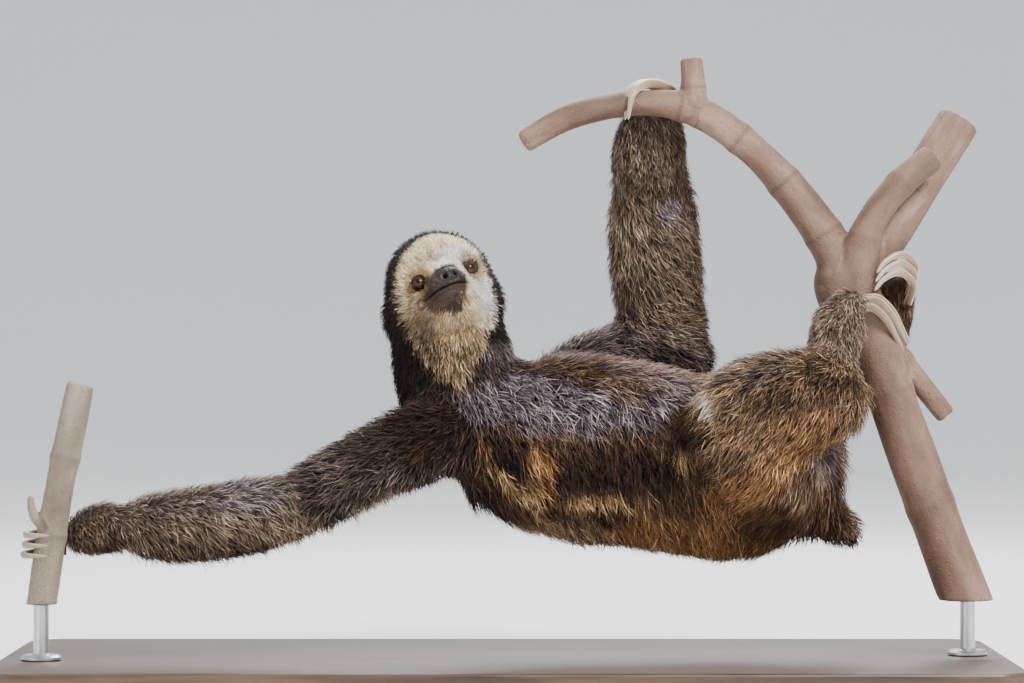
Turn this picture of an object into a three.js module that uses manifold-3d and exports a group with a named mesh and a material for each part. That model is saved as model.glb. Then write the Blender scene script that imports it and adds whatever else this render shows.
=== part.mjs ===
// A three-toed sloth, life size, hanging under a forked branch with one arm stretched out to an upright stem.
// Millimetres, +Z up. The origin is the centre of the display stand's underside: +X runs from the stretched
// hand to the feet, and -Y is the side that the face is turned to.

import * as THREE from "three";
import { mergeVertices } from "three/addons/utils/BufferGeometryUtils.js";
import Module from "manifold-3d";

const wasm = await Module();
wasm.setup();

// Clearance that each piece leaves to the pieces it meets.
const CLEARANCE = 0.5;

// Smoothness of the swept forms: sides round a section, rings along the length.
const TRUNK_MESH = { sides: 18, rings: 14 };
const LIMB_MESH = { sides: 12, rings: 8 };
const CLAW_MESH = { sides: 6, rings: 8 };
const WOOD_SIDES = 10;

// Finishes.
const FINISH = {
  fur: { color: 0x6d5a49, roughness: 0.95, metalness: 0 },
  dark_fur: { color: 0x2e2621, roughness: 0.95, metalness: 0 },
  face_fur: { color: 0xcdb894, roughness: 0.9, metalness: 0 },
  claw: { color: 0xd8c9ad, roughness: 0.45, metalness: 0 },
  eye: { color: 0x2a140b, roughness: 0.08, metalness: 0 },
  branch_bark: { color: 0x9a7560, roughness: 0.85, metalness: 0 },
  stem_bark: { color: 0xb9ab98, roughness: 0.85, metalness: 0 },
  stand_wood: { color: 0x4a3425, roughness: 0.5, metalness: 0 },
  stand_steel: { color: 0x8d8f92, roughness: 0.35, metalness: 1 },
};

// ---------------------------------------------------------------- solids from three.js geometries

function solidOf(geometry) {
  const bare = geometry.clone();
  bare.deleteAttribute("normal");
  bare.deleteAttribute("uv");
  const merged = mergeVertices(bare, 1e-4);
  return new wasm.Manifold(
    new wasm.Mesh({
      numProp: 3,
      vertProperties: new Float32Array(merged.attributes.position.array),
      triVerts: new Uint32Array(merged.index.array),
    }),
  );
}

function geometryOf(solid) {
  const mesh = solid.getMesh();
  const positions = new Float32Array(mesh.numVert * 3);
  for (let i = 0; i < mesh.numVert; i++) {
    const start = i * mesh.numProp;
    positions.set(mesh.vertProperties.subarray(start, start + 3), i * 3);
  }
  return new THREE.BufferGeometry()
    .setAttribute("position", new THREE.BufferAttribute(positions, 3))
    .setIndex(new THREE.BufferAttribute(mesh.triVerts, 1));
}

function largestBody(solid) {
  const bodies = solid.decompose();
  return bodies.reduce((best, body) => (body.volume() > best.volume() ? body : best));
}

// A rounded form swept along a smooth line through its stations. Each station is { at: [x, y, z], tall, deep }:
// tall is its half height across the line as seen from -Y, and deep its half depth along Y. The half sizes are
// those of a full section; the ends close as a superellipse does, and a higher fullness makes them blunter.
function sweep(stations, { sides, rings, fullness = 3, grow = 0 }) {
  const line = new THREE.CatmullRomCurve3(
    stations.map((s) => new THREE.Vector3(...s.at)),
    false,
    "centripetal",
  );
  const halfSizes = new THREE.CatmullRomCurve3(
    stations.map((s) => new THREE.Vector3(s.tall, s.deep, 0)),
    false,
    "catmullrom",
    0.4,
  );
  const geometry = new THREE.SphereGeometry(1, sides, rings);
  const position = geometry.attributes.position;
  const unit = new THREE.Vector3();
  for (let i = 0; i < position.count; i++) {
    unit.fromBufferAttribute(position, i);
    const along = line.getUtoTmapping((1 - unit.y) / 2);
    const tangent = line.getTangent(along);
    const size = halfSizes.getPoint(along);
    const deepAxis = new THREE.Vector3(0, 1, 0).projectOnPlane(tangent).normalize();
    const tallAxis = deepAxis.clone().cross(tangent);
    const round = Math.hypot(unit.x, unit.z) || 1;
    const swell = Math.pow(Math.max(0, 1 - Math.pow(Math.abs(unit.y), fullness)), 1 / fullness);
    const point = line
      .getPoint(along)
      .addScaledVector(tallAxis, (unit.x / round) * (size.x * swell + grow * round))
      .addScaledVector(deepAxis, (unit.z / round) * (size.y * swell + grow * round))
      .addScaledVector(tangent, -unit.y * grow);
    position.setXYZ(i, point.x, point.y, point.z);
  }
  return solidOf(geometry);
}

// Stations of a round limb: one radius at each point.
function round(...stations) {
  return stations.map(([at, radius]) => ({ at, tall: radius, deep: radius }));
}

function ellipsoid({ at, half }, { sides = 16, rings = 12, grow = 0 } = {}) {
  const geometry = new THREE.SphereGeometry(1, sides, rings)
    .rotateX(Math.PI / 2)
    .scale(half[0] + grow, half[1] + grow, half[2] + grow)
    .translate(...at);
  return solidOf(geometry);
}

// Everything above (or, with side -1, below) a level plane.
function halfSpace(level, side) {
  const reach = 1200;
  return solidOf(
    new THREE.BoxGeometry(reach, reach, reach).translate(0, 0, level + (side * reach) / 2),
  );
}

// ---------------------------------------------------------------- the animal's joints

const SHOULDERS = { right: [-44, -30, 193], left: [38, 52, 224] };
const ELBOWS = { right: [-160, -60, 138], left: [142, 92, 268] };
const WRISTS = { right: [-305, -47, 126], left: [117, 48, 412] };
const HIPS = { right: [216, -24, 160], left: [230, 32, 160] };
const KNEES = { right: [170, -84, 214], left: [226, 88, 214] };
const HEELS = { right: [268, -46, 224], left: [316, 42, 258] };

// ---------------------------------------------------------------- trunk, neck and tail

const TRUNK = [
  { at: [-76, 6, 205], tall: 50, deep: 45 },
  { at: [-28, 8, 205], tall: 58, deep: 56 },
  { at: [2, 8, 195], tall: 68, deep: 62 },
  { at: [50, 6, 185], tall: 75, deep: 67 },
  { at: [105, 6, 179], tall: 73, deep: 68 },
  { at: [150, 6, 170], tall: 72, deep: 67 },
  { at: [199, 8, 162], tall: 70, deep: 63 },
  { at: [271, 12, 168], tall: 54, deep: 51 },
];

const NECK = [
  { at: [-34, 10, 176], tall: 44, deep: 40 },
  { at: [-39, 6, 230], tall: 47, deep: 43 },
  { at: [-45, 3, 272], tall: 49, deep: 43 },
  { at: [-50, 1, 304], tall: 45, deep: 42 },
];

const TAIL = round([[240, 14, 142], 20], [[264, 15, 125], 17.5], [[283, 16, 110], 14]);

// ---------------------------------------------------------------- limbs

const ARM_UPPER = {
  right: [
    { at: [-26, -22, 204], tall: 38, deep: 34 },
    { at: [-78, -42, 186], tall: 31, deep: 30 },
    { at: [-120, -52, 165], tall: 28, deep: 27 },
    { at: [-174, -63, 136], tall: 31, deep: 28 },
  ],
  left: round([[24, 40, 220], 36], [[86, 72, 249], 33], [[168, 99, 268], 35]),
};

const FOREARM = {
  right: [
    { at: [-146, -58, 144], tall: 30, deep: 27 },
    { at: [-190, -57, 135], tall: 30, deep: 28 },
    { at: [-230, -55, 127], tall: 29.5, deep: 28 },
    { at: [-276, -50, 123.5], tall: 28.5, deep: 26 },
    { at: [-318, -45, 125], tall: 22, deep: 21 },
  ],
  left: [
    { at: [142, 96, 246], tall: 36, deep: 32 },
    { at: [126, 79, 302], tall: 37.5, deep: 33 },
    { at: [121, 63, 360], tall: 37, deep: 32 },
    { at: [116, 44, 438], tall: 31, deep: 25 },
  ],
};

const HAND = {
  right: [
    { at: [-296, -46, 126], tall: 23, deep: 20 },
    { at: [-326, -36, 120], tall: 20, deep: 15 },
    { at: [-352, -25, 112], tall: 15, deep: 9 },
  ],
  left: [
    { at: [115.5, 46, 388], tall: 33.5, deep: 28 },
    { at: [118, 29, 436], tall: 29, deep: 19 },
    { at: [130, 23, 469], tall: 17, deep: 9 },
  ],
};

const THIGH = {
  right: round([[232, -14, 154], 50], [[200, -46, 182], 44], [[158, -92, 222], 34]),
  left: round([[240, 24, 156], 46], [[232, 60, 190], 38], [[226, 100, 226], 30]),
};

const SHIN = {
  right: [
    { at: [154, -88, 214], tall: 33, deep: 31 },
    { at: [200, -76, 222], tall: 38, deep: 32 },
    { at: [242, -62, 226], tall: 40, deep: 31 },
    { at: [284, -44, 216], tall: 36, deep: 26 },
  ],
  left: round([[218, 96, 210], 29], [[264, 74, 232], 26], [[312, 44, 256], 17]),
};

const FOOT = {
  right: [
    { at: [256, -44, 212], tall: 21, deep: 21 },
    { at: [258, -40, 257], tall: 20, deep: 20 },
    { at: [265, -37, 284], tall: 23, deep: 18 },
    { at: [274, -34, 299], tall: 18, deep: 14 },
    { at: [290, -33, 302], tall: 12, deep: 9 },
  ],
  left: [
    { at: [305, 52, 240], tall: 15, deep: 15 },
    { at: [309, 34, 272], tall: 16, deep: 14 },
    { at: [318, 12, 323], tall: 16.5, deep: 11 },
  ],
};

// ---------------------------------------------------------------- claws

// Each hook's line from its root to its tip for the first claw, and the places of all three beside it.
const HOOKS = {
  right_hand: {
    line: [[-346, -24, 119], [-367, -27, 118], [-377, -45, 117], [-371, -63, 117], [-356, -68, 117]],
    beside: [[0, 0, 0], [-1, 0, -8], [-2, 0, -16]],
    root: 3.6,
  },
  left_hand: {
    line: [[140, 23, 460], [133, 14, 470.5], [116, 1, 475.5], [102, -13.5, 466], [98, -16, 445]],
    beside: [[0, 0, 0], [-2.3, 6.8, 0.3], [-4.6, 13.6, 0.6]],
    root: 4.6,
  },
  right_foot: {
    line: [[278, -35, 295], [290, -31, 296], [302, -25, 287], [311, -16, 273], [319, -3, 260]],
    beside: [[0, 0, 0], [3, 1, 5.6], [5.2, 7.5, 7.4]],
    root: 3.4,
  },
  left_foot: {
    line: [[323, 9, 299], [326, -1, 315], [314, -15, 324], [301, -21, 318.5], [293, -26, 309]],
    beside: [[0, 0, 0], [0.8, -0.3, 7.2], [1.6, -0.6, 14.2]],
    root: 3.4,
  },
};
const CLAW_TIP = 0.9;
const CLAW_FLATNESS = 0.72;

function clawStations({ line, beside, root }, index) {
  return line.map((point, i) => {
    const radius = THREE.MathUtils.lerp(root, CLAW_TIP, Math.pow(i / (line.length - 1), 2.2));
    return {
      at: point.map((value, axis) => value + beside[index][axis]),
      tall: radius,
      deep: radius * CLAW_FLATNESS,
    };
  });
}

// ---------------------------------------------------------------- head

// The head's own frame: +x to the animal's right, +y out of the face, +z to the crown.
const HEAD = {
  centre: [-52.9, -4, 309],
  turn: 8.3, // degrees that the face turns to +X from -Y
  lift: 22, // degrees that the muzzle is lifted
  lean: 17, // degrees that the crown leans to -X
};
const EYES = { radius: 6.5, side: 20.5, forward: 32, up: 0.7 };
const HEAD_FORMS = [
  { at: [-2.6, 0, 3.5], half: [43.5, 43, 45], sides: 18, rings: 12 }, // skull and coat
  { at: [0.8, -2, -13.9], half: [51, 37, 38], sides: 14, rings: 8 }, // hood over the cheeks
  { at: [0, 17, -20], half: [34, 26, 23], sides: 12, rings: 8 }, // cheeks and jaw
  { at: [0, 34, -11], half: [18.5, 20, 14], sides: 12, rings: 8 }, // muzzle
  { at: [0, 33, -21.5], half: [14, 15, 10.5], sides: 10, rings: 8 }, // chin
];
const NOSE = { at: [0, 49, -7], half: [8.5, 6.5, 6], sides: 10, rings: 7 };
const NOSTRIL = { side: 4.2, forward: 55.2, up: -7.4, radius: 2.1 };
const MOUTH = { halfWidth: 18, forward: 46, up: -13.4, gape: 0.9, deep: 15 };

function headFrame() {
  const [turn, lift, lean] = [HEAD.turn, HEAD.lift, HEAD.lean].map(THREE.MathUtils.degToRad);
  const forward = new THREE.Vector3(
    Math.sin(turn) * Math.cos(lift),
    -Math.cos(turn) * Math.cos(lift),
    Math.sin(lift),
  );
  const levelSide = new THREE.Vector3(Math.cos(turn), Math.sin(turn), 0);
  const up = levelSide.clone().cross(forward).negate().applyAxisAngle(forward, lean);
  if (up.z < 0) up.negate();
  const right = forward.clone().cross(up);
  return new THREE.Matrix4().makeBasis(right, forward, up).setPosition(...HEAD.centre);
}

function inHeadFrame(solid) {
  return solid.transform(headFrame().elements);
}

function eye(side, grow = 0) {
  const at = [side * EYES.side, EYES.forward, EYES.up];
  const half = [EYES.radius, EYES.radius, EYES.radius];
  return inHeadFrame(ellipsoid({ at, half }, { sides: 10, rings: 8, grow }));
}

function head(grow = 0) {
  let solid = ellipsoid(NOSE, { ...NOSE, grow });
  for (const form of HEAD_FORMS) solid = solid.add(ellipsoid(form, { ...form, grow }));
  if (grow > 0) return inHeadFrame(solid);
  for (const side of [-1, 1]) {
    const at = [side * NOSTRIL.side, NOSTRIL.forward, NOSTRIL.up];
    const half = [NOSTRIL.radius, NOSTRIL.radius * 1.5, NOSTRIL.radius];
    solid = solid.subtract(ellipsoid({ at, half }, { sides: 6, rings: 4 }));
  }
  const lips = ellipsoid({
    at: [0, MOUTH.forward, MOUTH.up],
    half: [MOUTH.halfWidth, MOUTH.deep, MOUTH.gape],
  }, { sides: 10, rings: 4 });
  return inHeadFrame(solid.subtract(lips));
}

// ---------------------------------------------------------------- perch

const TRUNK_CUT = 62; // level at which the fork's foot is sawn off
const BRANCH_FORK = round(
  [[376, 0, 44], 20.5],
  [[340, 0, 138], 20],
  [[310, 0, 222], 19.5],
  [[293, 1, 276], 20],
  [[273, 3, 316], 26],
  [[302, 13, 352], 20],
  [[338, 28, 402], 18],
  [[368, 40, 448], 17],
);
const BRANCH_ARCH = round(
  [[284, 2, 296], 20],
  [[254, 0, 356], 15.5],
  [[201, 0, 420], 13],
  [[150, 0, 454], 12.5],
  [[108, 0, 459.5], 10.5],
  [[52, 0, 449], 10],
  [[14, 0, 428], 9.5],
);
const BRANCH_SIDE_SHOOT = round([[153, 0, 452], 12], [[151, 0, 470], 10], [[149.5, 0, 496], 9]);
const BRANCH_THIN_LIMB = round([[280, -8, 314], 15], [[288, -18, 358], 12], [[314, -14, 394], 12], [[342, -7, 416], 11]);
const BRANCH_LOW_TWIG = round([[298, 8, 286], 10], [[324, 18, 248], 9], [[356, 27, 209], 8]);
const STEM = round([[-334, -48, 236], 11], [[-348, -48, 168], 11.7], [[-356, -48, 120], 11.7], [[-366, -48, 54], 12.2]);

const STEM_STUB = round([[-358, -48, 122], 5], [[-370, -48, 130], 4.6], [[-374, -49, 148], 3.2]);

function wood(stations, rings, grow) {
  return sweep(stations, { sides: WOOD_SIDES, rings, fullness: 12, grow });
}

function branch(grow = 0) {
  return wood(BRANCH_FORK, 18, grow)
    .add(wood(BRANCH_ARCH, 15, grow))
    .add(wood(BRANCH_SIDE_SHOOT, 5, grow))
    .add(wood(BRANCH_THIN_LIMB, 8, grow))
    .add(wood(BRANCH_LOW_TWIG, 6, grow))
    .subtract(halfSpace(TRUNK_CUT - grow, -1));
}

function stem(grow = 0) {
  return wood(STEM, 8, grow)
    .add(wood(STEM_STUB, 5, grow))
    .subtract(halfSpace(TRUNK_CUT - grow, -1));
}

// ---------------------------------------------------------------- display stand

const BASE = { length: 800, width: 340, thick: 18, corner: 30, bevel: 3 };
const ROD = { radius: 6, footRadius: 16, footThick: 4, sides: 14 };

function standBase() {
  const { length, width, thick, corner, bevel } = BASE;
  const x = length / 2 - bevel;
  const y = width / 2 - bevel;
  const r = corner - bevel;
  const plan = new THREE.Shape()
    .moveTo(-x + r, -y)
    .lineTo(x - r, -y)
    .absarc(x - r, -y + r, r, -Math.PI / 2, 0)
    .lineTo(x, y - r)
    .absarc(x - r, y - r, r, 0, Math.PI / 2)
    .lineTo(-x + r, y)
    .absarc(-x + r, y - r, r, Math.PI / 2, Math.PI)
    .lineTo(-x, -y + r)
    .absarc(-x + r, -y + r, r, Math.PI, Math.PI * 1.5);
  const geometry = new THREE.ExtrudeGeometry(plan, {
    depth: thick - 2 * bevel,
    bevelThickness: bevel,
    bevelSize: bevel,
    bevelSegments: 1,
    curveSegments: 5,
  }).translate(0, 0, bevel);
  return solidOf(geometry);
}

// A steel rod with a round foot, from the base up to the sawn end of a branch whose centre is at x, y.
function standRod(x, y) {
  const bottom = BASE.thick + CLEARANCE;
  const top = TRUNK_CUT - CLEARANCE;
  const profile = [
    [0, bottom],
    [ROD.footRadius, bottom],
    [ROD.footRadius, bottom + ROD.footThick * 0.6],
    [ROD.footRadius - 2, bottom + ROD.footThick],
    [ROD.radius, bottom + ROD.footThick],
    [ROD.radius, top],
    [0, top],
  ].map(([radius, height]) => new THREE.Vector2(radius, height));
  const geometry = new THREE.LatheGeometry(profile, ROD.sides).rotateX(Math.PI / 2).translate(x, y, 0);
  return solidOf(geometry);
}

// ---------------------------------------------------------------- assembly

// Every piece in the order in which it takes its space: a later piece gives way to the earlier ones.
const PIECES = [];

function piece(name, finish, anchor, make) {
  PIECES.push({ name, finish, anchor, make });
}

piece("stand_base", "stand_wood", [0, 0, 0], standBase);
piece("stand_rod_right", "stand_steel", [370, 0, BASE.thick], () => standRod(370, 0));
piece("stand_rod_left", "stand_steel", [-365, -48, BASE.thick], () => standRod(-365, -48));
piece("perch_branch", "branch_bark", [287, 4, 316], branch);
piece("perch_stem", "stem_bark", [-356, -48, 120], stem);

for (const [limb, hooks] of Object.entries(HOOKS)) {
  for (let index = 0; index < hooks.beside.length; index++) {
    piece(`claw_${limb}_${index + 1}`, "claw", hooks.line[0], (grow = 0) =>
      sweep(clawStations(hooks, index), { ...CLAW_MESH, fullness: 5, grow }),
    );
  }
}

for (const [name, side] of [["eye_right", 1], ["eye_left", -1]]) {
  piece(name, "eye", HEAD.centre, (grow = 0) => eye(side, grow));
}

piece("head", "face_fur", HEAD.centre, head);

function fleshPiece(name, finish, anchor, stations, mesh = LIMB_MESH) {
  piece(name, finish, anchor, (grow = 0) => sweep(stations, { ...mesh, grow }));
}

for (const side of ["right", "left"]) {
  fleshPiece(`hand_${side}`, "fur", WRISTS[side], HAND[side]);
  fleshPiece(`foot_${side}`, "fur", HEELS[side], FOOT[side]);
  fleshPiece(`forearm_${side}`, "fur", ELBOWS[side], FOREARM[side]);
  fleshPiece(`shin_${side}`, "fur", KNEES[side], SHIN[side]);
}
fleshPiece("trunk", "fur", [50, 6, 184], TRUNK, TRUNK_MESH);
for (const side of ["right", "left"]) {
  fleshPiece(`upper_arm_${side}`, "fur", SHOULDERS[side], ARM_UPPER[side]);
  fleshPiece(`thigh_${side}`, "fur", HIPS[side], THIGH[side]);
}
fleshPiece("neck", "dark_fur", [-43, 5, 236], NECK, { sides: 14, rings: 9 });
fleshPiece("tail", "fur", [240, 14, 142], TAIL);

function boxesMeet(a, b) {
  const [p, q] = [a.boundingBox(), b.boundingBox()];
  return [0, 1, 2].every((axis) => p.min[axis] < q.max[axis] && q.min[axis] < p.max[axis]);
}

const sloth = new THREE.Group();
const taken = [];
for (const { name, finish, anchor, make } of PIECES) {
  let solid = make();
  for (const earlier of taken) if (boxesMeet(solid, earlier)) solid = solid.subtract(earlier);
  solid = largestBody(solid);
  if (!name.startsWith("stand_")) taken.push(make(CLEARANCE));
  const geometry = geometryOf(solid).translate(-anchor[0], -anchor[1], -anchor[2]);
  const mesh = new THREE.Mesh(geometry, new THREE.MeshStandardMaterial(FINISH[finish]));
  mesh.name = name;
  mesh.position.set(...anchor);
  sloth.add(mesh);
}

export default sloth;
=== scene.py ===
import math

import bmesh
import bpy
import numpy as np
from mathutils import Matrix, Vector
from mathutils.bvhtree import BVHTree
from mathutils.kdtree import KDTree


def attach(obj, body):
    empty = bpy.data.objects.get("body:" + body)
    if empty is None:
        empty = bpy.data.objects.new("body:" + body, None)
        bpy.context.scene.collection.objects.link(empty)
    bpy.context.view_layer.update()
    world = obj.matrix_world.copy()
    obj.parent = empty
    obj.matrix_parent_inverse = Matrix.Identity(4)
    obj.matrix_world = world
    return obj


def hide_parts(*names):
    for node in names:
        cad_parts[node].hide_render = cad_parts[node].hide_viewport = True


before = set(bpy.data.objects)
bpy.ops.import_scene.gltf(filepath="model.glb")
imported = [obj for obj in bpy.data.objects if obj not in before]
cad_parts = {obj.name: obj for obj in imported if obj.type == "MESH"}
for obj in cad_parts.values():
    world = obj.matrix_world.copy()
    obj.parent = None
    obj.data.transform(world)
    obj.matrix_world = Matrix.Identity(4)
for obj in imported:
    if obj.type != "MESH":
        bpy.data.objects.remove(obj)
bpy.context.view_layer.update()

# ---------------------------------------------------------------- camera
# A long lens, level with the middle of the animal and square to its perch, as a keeper would
# stand to look at it. The frame takes in the same width at the animal as the lens gives at 3 m.

MM = 0.001
CAMERA_AT = (5.6 * MM, -3.0, 269 * MM)
FRAME_WIDTH = 819.2 * MM
SENSOR = 36.0

camera_data = bpy.data.cameras.new("camera")
camera_data.sensor_width = SENSOR
camera_data.lens = SENSOR * -CAMERA_AT[1] / FRAME_WIDTH
camera_data.clip_end = 60
camera = bpy.data.objects.new("camera", camera_data)
camera.location = CAMERA_AT
camera.rotation_euler = (math.pi / 2, 0, 0)
bpy.context.scene.collection.objects.link(camera)
bpy.context.scene.camera = camera

# ---------------------------------------------------------------- hide
# One tanned hide over the whole body, drawn over the mannikin and closed without a seam. It lies
# inside the tips of the coat by the coat's own depth, and is bare at the nose, lips and lids.

FLESH = ["head", "neck", "trunk", "tail"] + [
    f"{part}_{side}"
    for side in ("right", "left")
    for part in ("upper_arm", "forearm", "hand", "thigh", "shin", "foot")
]
SEAM_OVERLAP = 1.5 * MM
HIDE_VOXEL = 3.1 * MM
HIDE_SMOOTHING = 10
BLEND_ROUNDS = 26
SEAM_SMOOTHING = 25

# How deep the coat is over each part, in millimetres.
COAT_DEPTH = {
    "head": 5, "neck": 7, "trunk": 10, "tail": 6, "upper_arm": 8, "forearm": 7,
    "hand": 3.4, "thigh": 9, "shin": 7, "foot": 4, "foot_left": 0.8,
}

# The head's own frame, from its middle: x to the animal's right, y out of the face, z to the crown.
HEAD_AT = np.array([-52.9, -4, 309])
HEAD_TURN, HEAD_LIFT, HEAD_LEAN = (math.radians(angle) for angle in (8.3, 22, 17))
NOSE_AT = np.array([0, 50, -8])
NOSTRIL = {"side": 4.3, "up": -8.0, "radius": 1.85, "deep": 4.5}
EYE_SIDE, EYE_FORWARD, EYE_UP, EYE_RADIUS = 20.8, 32.0, -0.4, 6.5
EYE_GAZE = (0.30, 0.95, -0.02)
LID_RADIUS = 7.15
LID_OPENING = (39, 34)  # degrees from the gaze: at the corners, and above and below
LID_BREADTH = 15  # degrees of bare dark skin round the opening
MOUTH_UP, MOUTH_CURL, MOUTH_HALF, MOUTH_SHIFT = -15.8, -0.5, 20.0, 2.5


def head_axes():
    """Rows are the head's right, forward and up."""
    turn, lift, lean = HEAD_TURN, HEAD_LIFT, HEAD_LEAN
    forward = Vector((math.sin(turn) * math.cos(lift), -math.cos(turn) * math.cos(lift), math.sin(lift)))
    side = Vector((math.cos(turn), math.sin(turn), 0))
    up = forward.cross(side)
    if up.z < 0:
        up.negate()
    up.rotate(Matrix.Rotation(lean, 3, forward))
    return np.array([forward.cross(up), forward, up])


HEAD_AXES = head_axes()


def in_head(points):
    """Points of the row, in millimetres, in the head's own frame."""
    return (points - HEAD_AT) @ HEAD_AXES.T


def ease(low, high, values):
    """0 below low, 1 above high and smooth between them."""
    share = np.clip((values - low) / (high - low), 0, 1)
    return share * share * (3 - 2 * share)


def unit(vectors):
    return vectors / np.maximum(np.linalg.norm(vectors, axis=-1, keepdims=True), 1e-9)


def new_object(name, mesh):
    made = bpy.data.objects.new(name, mesh)
    bpy.context.scene.collection.objects.link(made)
    return made


def mesh_of(work, name):
    """The mesh of a bmesh, which is freed."""
    mesh = bpy.data.meshes.new(name)
    work.to_mesh(mesh)
    work.free()
    return mesh


def smooth(work, verts):
    bmesh.ops.smooth_vert(
        work, verts=verts, factor=0.5, use_axis_x=True, use_axis_y=True, use_axis_z=True
    )


def read(items, field, width, kind=float):
    """One field of all the items of a mesh, with a row for each."""
    flat = np.empty(len(items) * width, kind)
    items.foreach_get(field, flat)
    return flat.reshape(-1, width)


def places(mesh):
    """The vertices of a mesh in millimetres."""
    return read(mesh.vertices, "co", 3) / MM


def put(mesh, points):
    mesh.vertices.foreach_set("co", (points * MM).ravel())
    mesh.update()


def normals_of(mesh):
    return read(mesh.vertex_normals, "vector", 3, np.float32).astype(float)


def remeshed(name, mesh, voxel):
    """A closed, even skin round everything in a mesh."""
    rough = new_object(name, mesh)
    remesh = rough.modifiers.new("voxels", "REMESH")
    remesh.mode = "VOXEL"
    remesh.voxel_size = voxel
    evaluated = rough.evaluated_get(bpy.context.evaluated_depsgraph_get())
    skin = bpy.data.meshes.new_from_object(evaluated)
    bpy.data.objects.remove(rough)
    return skin


def neighbour_mean(mesh):
    """A function that gives each vertex the mean of its neighbours' values."""
    edges = read(mesh.edges, "vertices", 2, np.int64)
    ends = np.concatenate([edges, edges[:, ::-1]])
    ends = ends[np.argsort(ends[:, 0], kind="stable")]
    count = len(mesh.vertices)
    starts = np.searchsorted(ends[:, 0], np.arange(count))
    number = np.bincount(ends[:, 0], minlength=count)[:, None]
    return lambda values: np.add.reduceat(values[ends[:, 1]], starts) / number


flesh = bmesh.new()
flesh_part = []
for index, node in enumerate(FLESH):
    part = bmesh.new()
    part.from_mesh(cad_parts[node].data)
    bmesh.ops.remove_doubles(part, verts=part.verts, dist=0.01 * MM)
    part.normal_update()
    for vert in part.verts:
        vert.co += vert.normal * SEAM_OVERLAP
    part_mesh = mesh_of(part, "part")
    flesh.from_mesh(part_mesh)
    flesh_part += [index] * len(part_mesh.polygons)
    bpy.data.meshes.remove(part_mesh)
flesh_tree = BVHTree.FromBMesh(flesh)
flesh_mesh = mesh_of(flesh, "flesh")

hide = bmesh.new()
hide.from_mesh(remeshed("flesh", flesh_mesh, HIDE_VOXEL))
for _ in range(HIDE_SMOOTHING):
    smooth(hide, hide.verts)


def face_zone(level):
    """The edges of the face that are cut again: all of it first, then what is finely formed."""
    points = in_head(np.array([vert.co for vert in hide.verts]) / MM)
    front = (points[:, 1] > 6) & (points[:, 2] > -44) & (np.abs(points[:, 0]) < 44)
    if level > 1:
        from_nose = np.linalg.norm((points - (NOSE_AT + [0, 0, -6])) * [0.8, 1, 1], axis=1)
        near = from_nose < (23, 18)[level - 2]
        for side in (1, -1):
            away = np.linalg.norm(points - [side * EYE_SIDE, EYE_FORWARD, EYE_UP], axis=1)
            near |= away < (14, 11.5)[level - 2]
        front &= near
    inside = set(np.nonzero(front)[0])
    return [edge for edge in hide.edges if all(vert.index in inside for vert in edge.verts)]


for level in (1, 2, 3):
    hide.verts.index_update()
    zone = face_zone(level)
    bmesh.ops.subdivide_edges(hide, edges=zone, cuts=1, use_grid_fill=True)
    bmesh.ops.triangulate(hide, faces=[face for face in hide.faces if len(face.verts) > 4])
    hide.verts.index_update()
    fine = {vert for edge in face_zone(level) for vert in edge.verts}
    for _ in range(3):
        smooth(hide, list(fine))
hide_mesh = mesh_of(hide, "hide")
mean_of = neighbour_mean(hide_mesh)

# Which parts each vertex belongs to, blended across the joins.
hide_points = places(hide_mesh)
share_of = np.zeros((len(hide_points), len(FLESH)))
for index, point in enumerate(hide_points * MM):
    share_of[index, flesh_part[flesh_tree.find_nearest(point)[2]]] = 1
for _ in range(BLEND_ROUNDS):
    share_of = 0.3 * share_of + 0.7 * mean_of(share_of)


def by_part(shares, values):
    """A value for each vertex from one for each part; left and right limbs may have their own."""
    table = [values.get(node, values.get(node.rsplit("_", 1)[0])) for node in FLESH]
    return shares @ np.array(table, float)


def share(shares, node):
    return shares[:, FLESH.index(node)]


def coat_depth(local, shares):
    depth = by_part(shares, COAT_DEPTH)
    on_head = share(shares, "head")
    away = np.linalg.norm(local - NOSE_AT, axis=1)
    facial = 0.4 + 2.4 * ease(14, 32, away) + 4.2 * ease(38, 62, away)
    return depth * (1 - on_head) + facial * on_head


local = in_head(hide_points)
inward = coat_depth(local, share_of)
on_face = ease(2, 10, local[:, 1]) * ease(0.4, 0.8, share(share_of, "head"))
hide_points = hide_points - normals_of(hide_mesh) * inward[:, None]
for _ in range(4):
    hide_points += (mean_of(hide_points) - hide_points) * 0.6 * (1 - on_face)[:, None]
at_seam = ease(0.05, 0.4, 1 - (share_of**2).sum(1)) * (1 - on_face)
for _ in range(SEAM_SMOOTHING):
    hide_points += (mean_of(hide_points) - hide_points) * 0.6 * at_seam[:, None]
put(hide_mesh, hide_points)

# The face: nose pad, nostrils, lips and chin, then the lids round each eye.
local = in_head(hide_points)
outward = normals_of(hide_mesh) @ HEAD_AXES.T
x, y, z = local.T
front = ease(30, 40, y)
push = np.zeros(len(local))
lip_line = MOUTH_UP + MOUTH_CURL * (x / MOUTH_HALF) ** 2
from_lips = z - lip_line
lips = ease(24, 34, y) * (1 - ease(MOUTH_HALF - 1.5, MOUTH_HALF + 2.5, np.abs(x - MOUTH_SHIFT)))
push -= 1.7 * lips * np.exp(-((from_lips / 0.55) ** 2))
push += 0.35 * lips * np.exp(-(((from_lips - 2.0) / 1.5) ** 2))
push += 0.45 * lips * np.exp(-(((from_lips + 2.2) / 1.6) ** 2))
pad = np.hypot(x / 8.6, (z + 5.8) / 6.2)
push += 0.9 * front * (1 - ease(0.72, 1.1, pad)) - 0.5 * front * np.exp(-(((pad - 1.16) / 0.1) ** 2))
push -= 0.55 * front * np.exp(-((x / 0.7) ** 2)) * ease(-15, -13.5, z) * (1 - ease(-6, -2, z))
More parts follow.
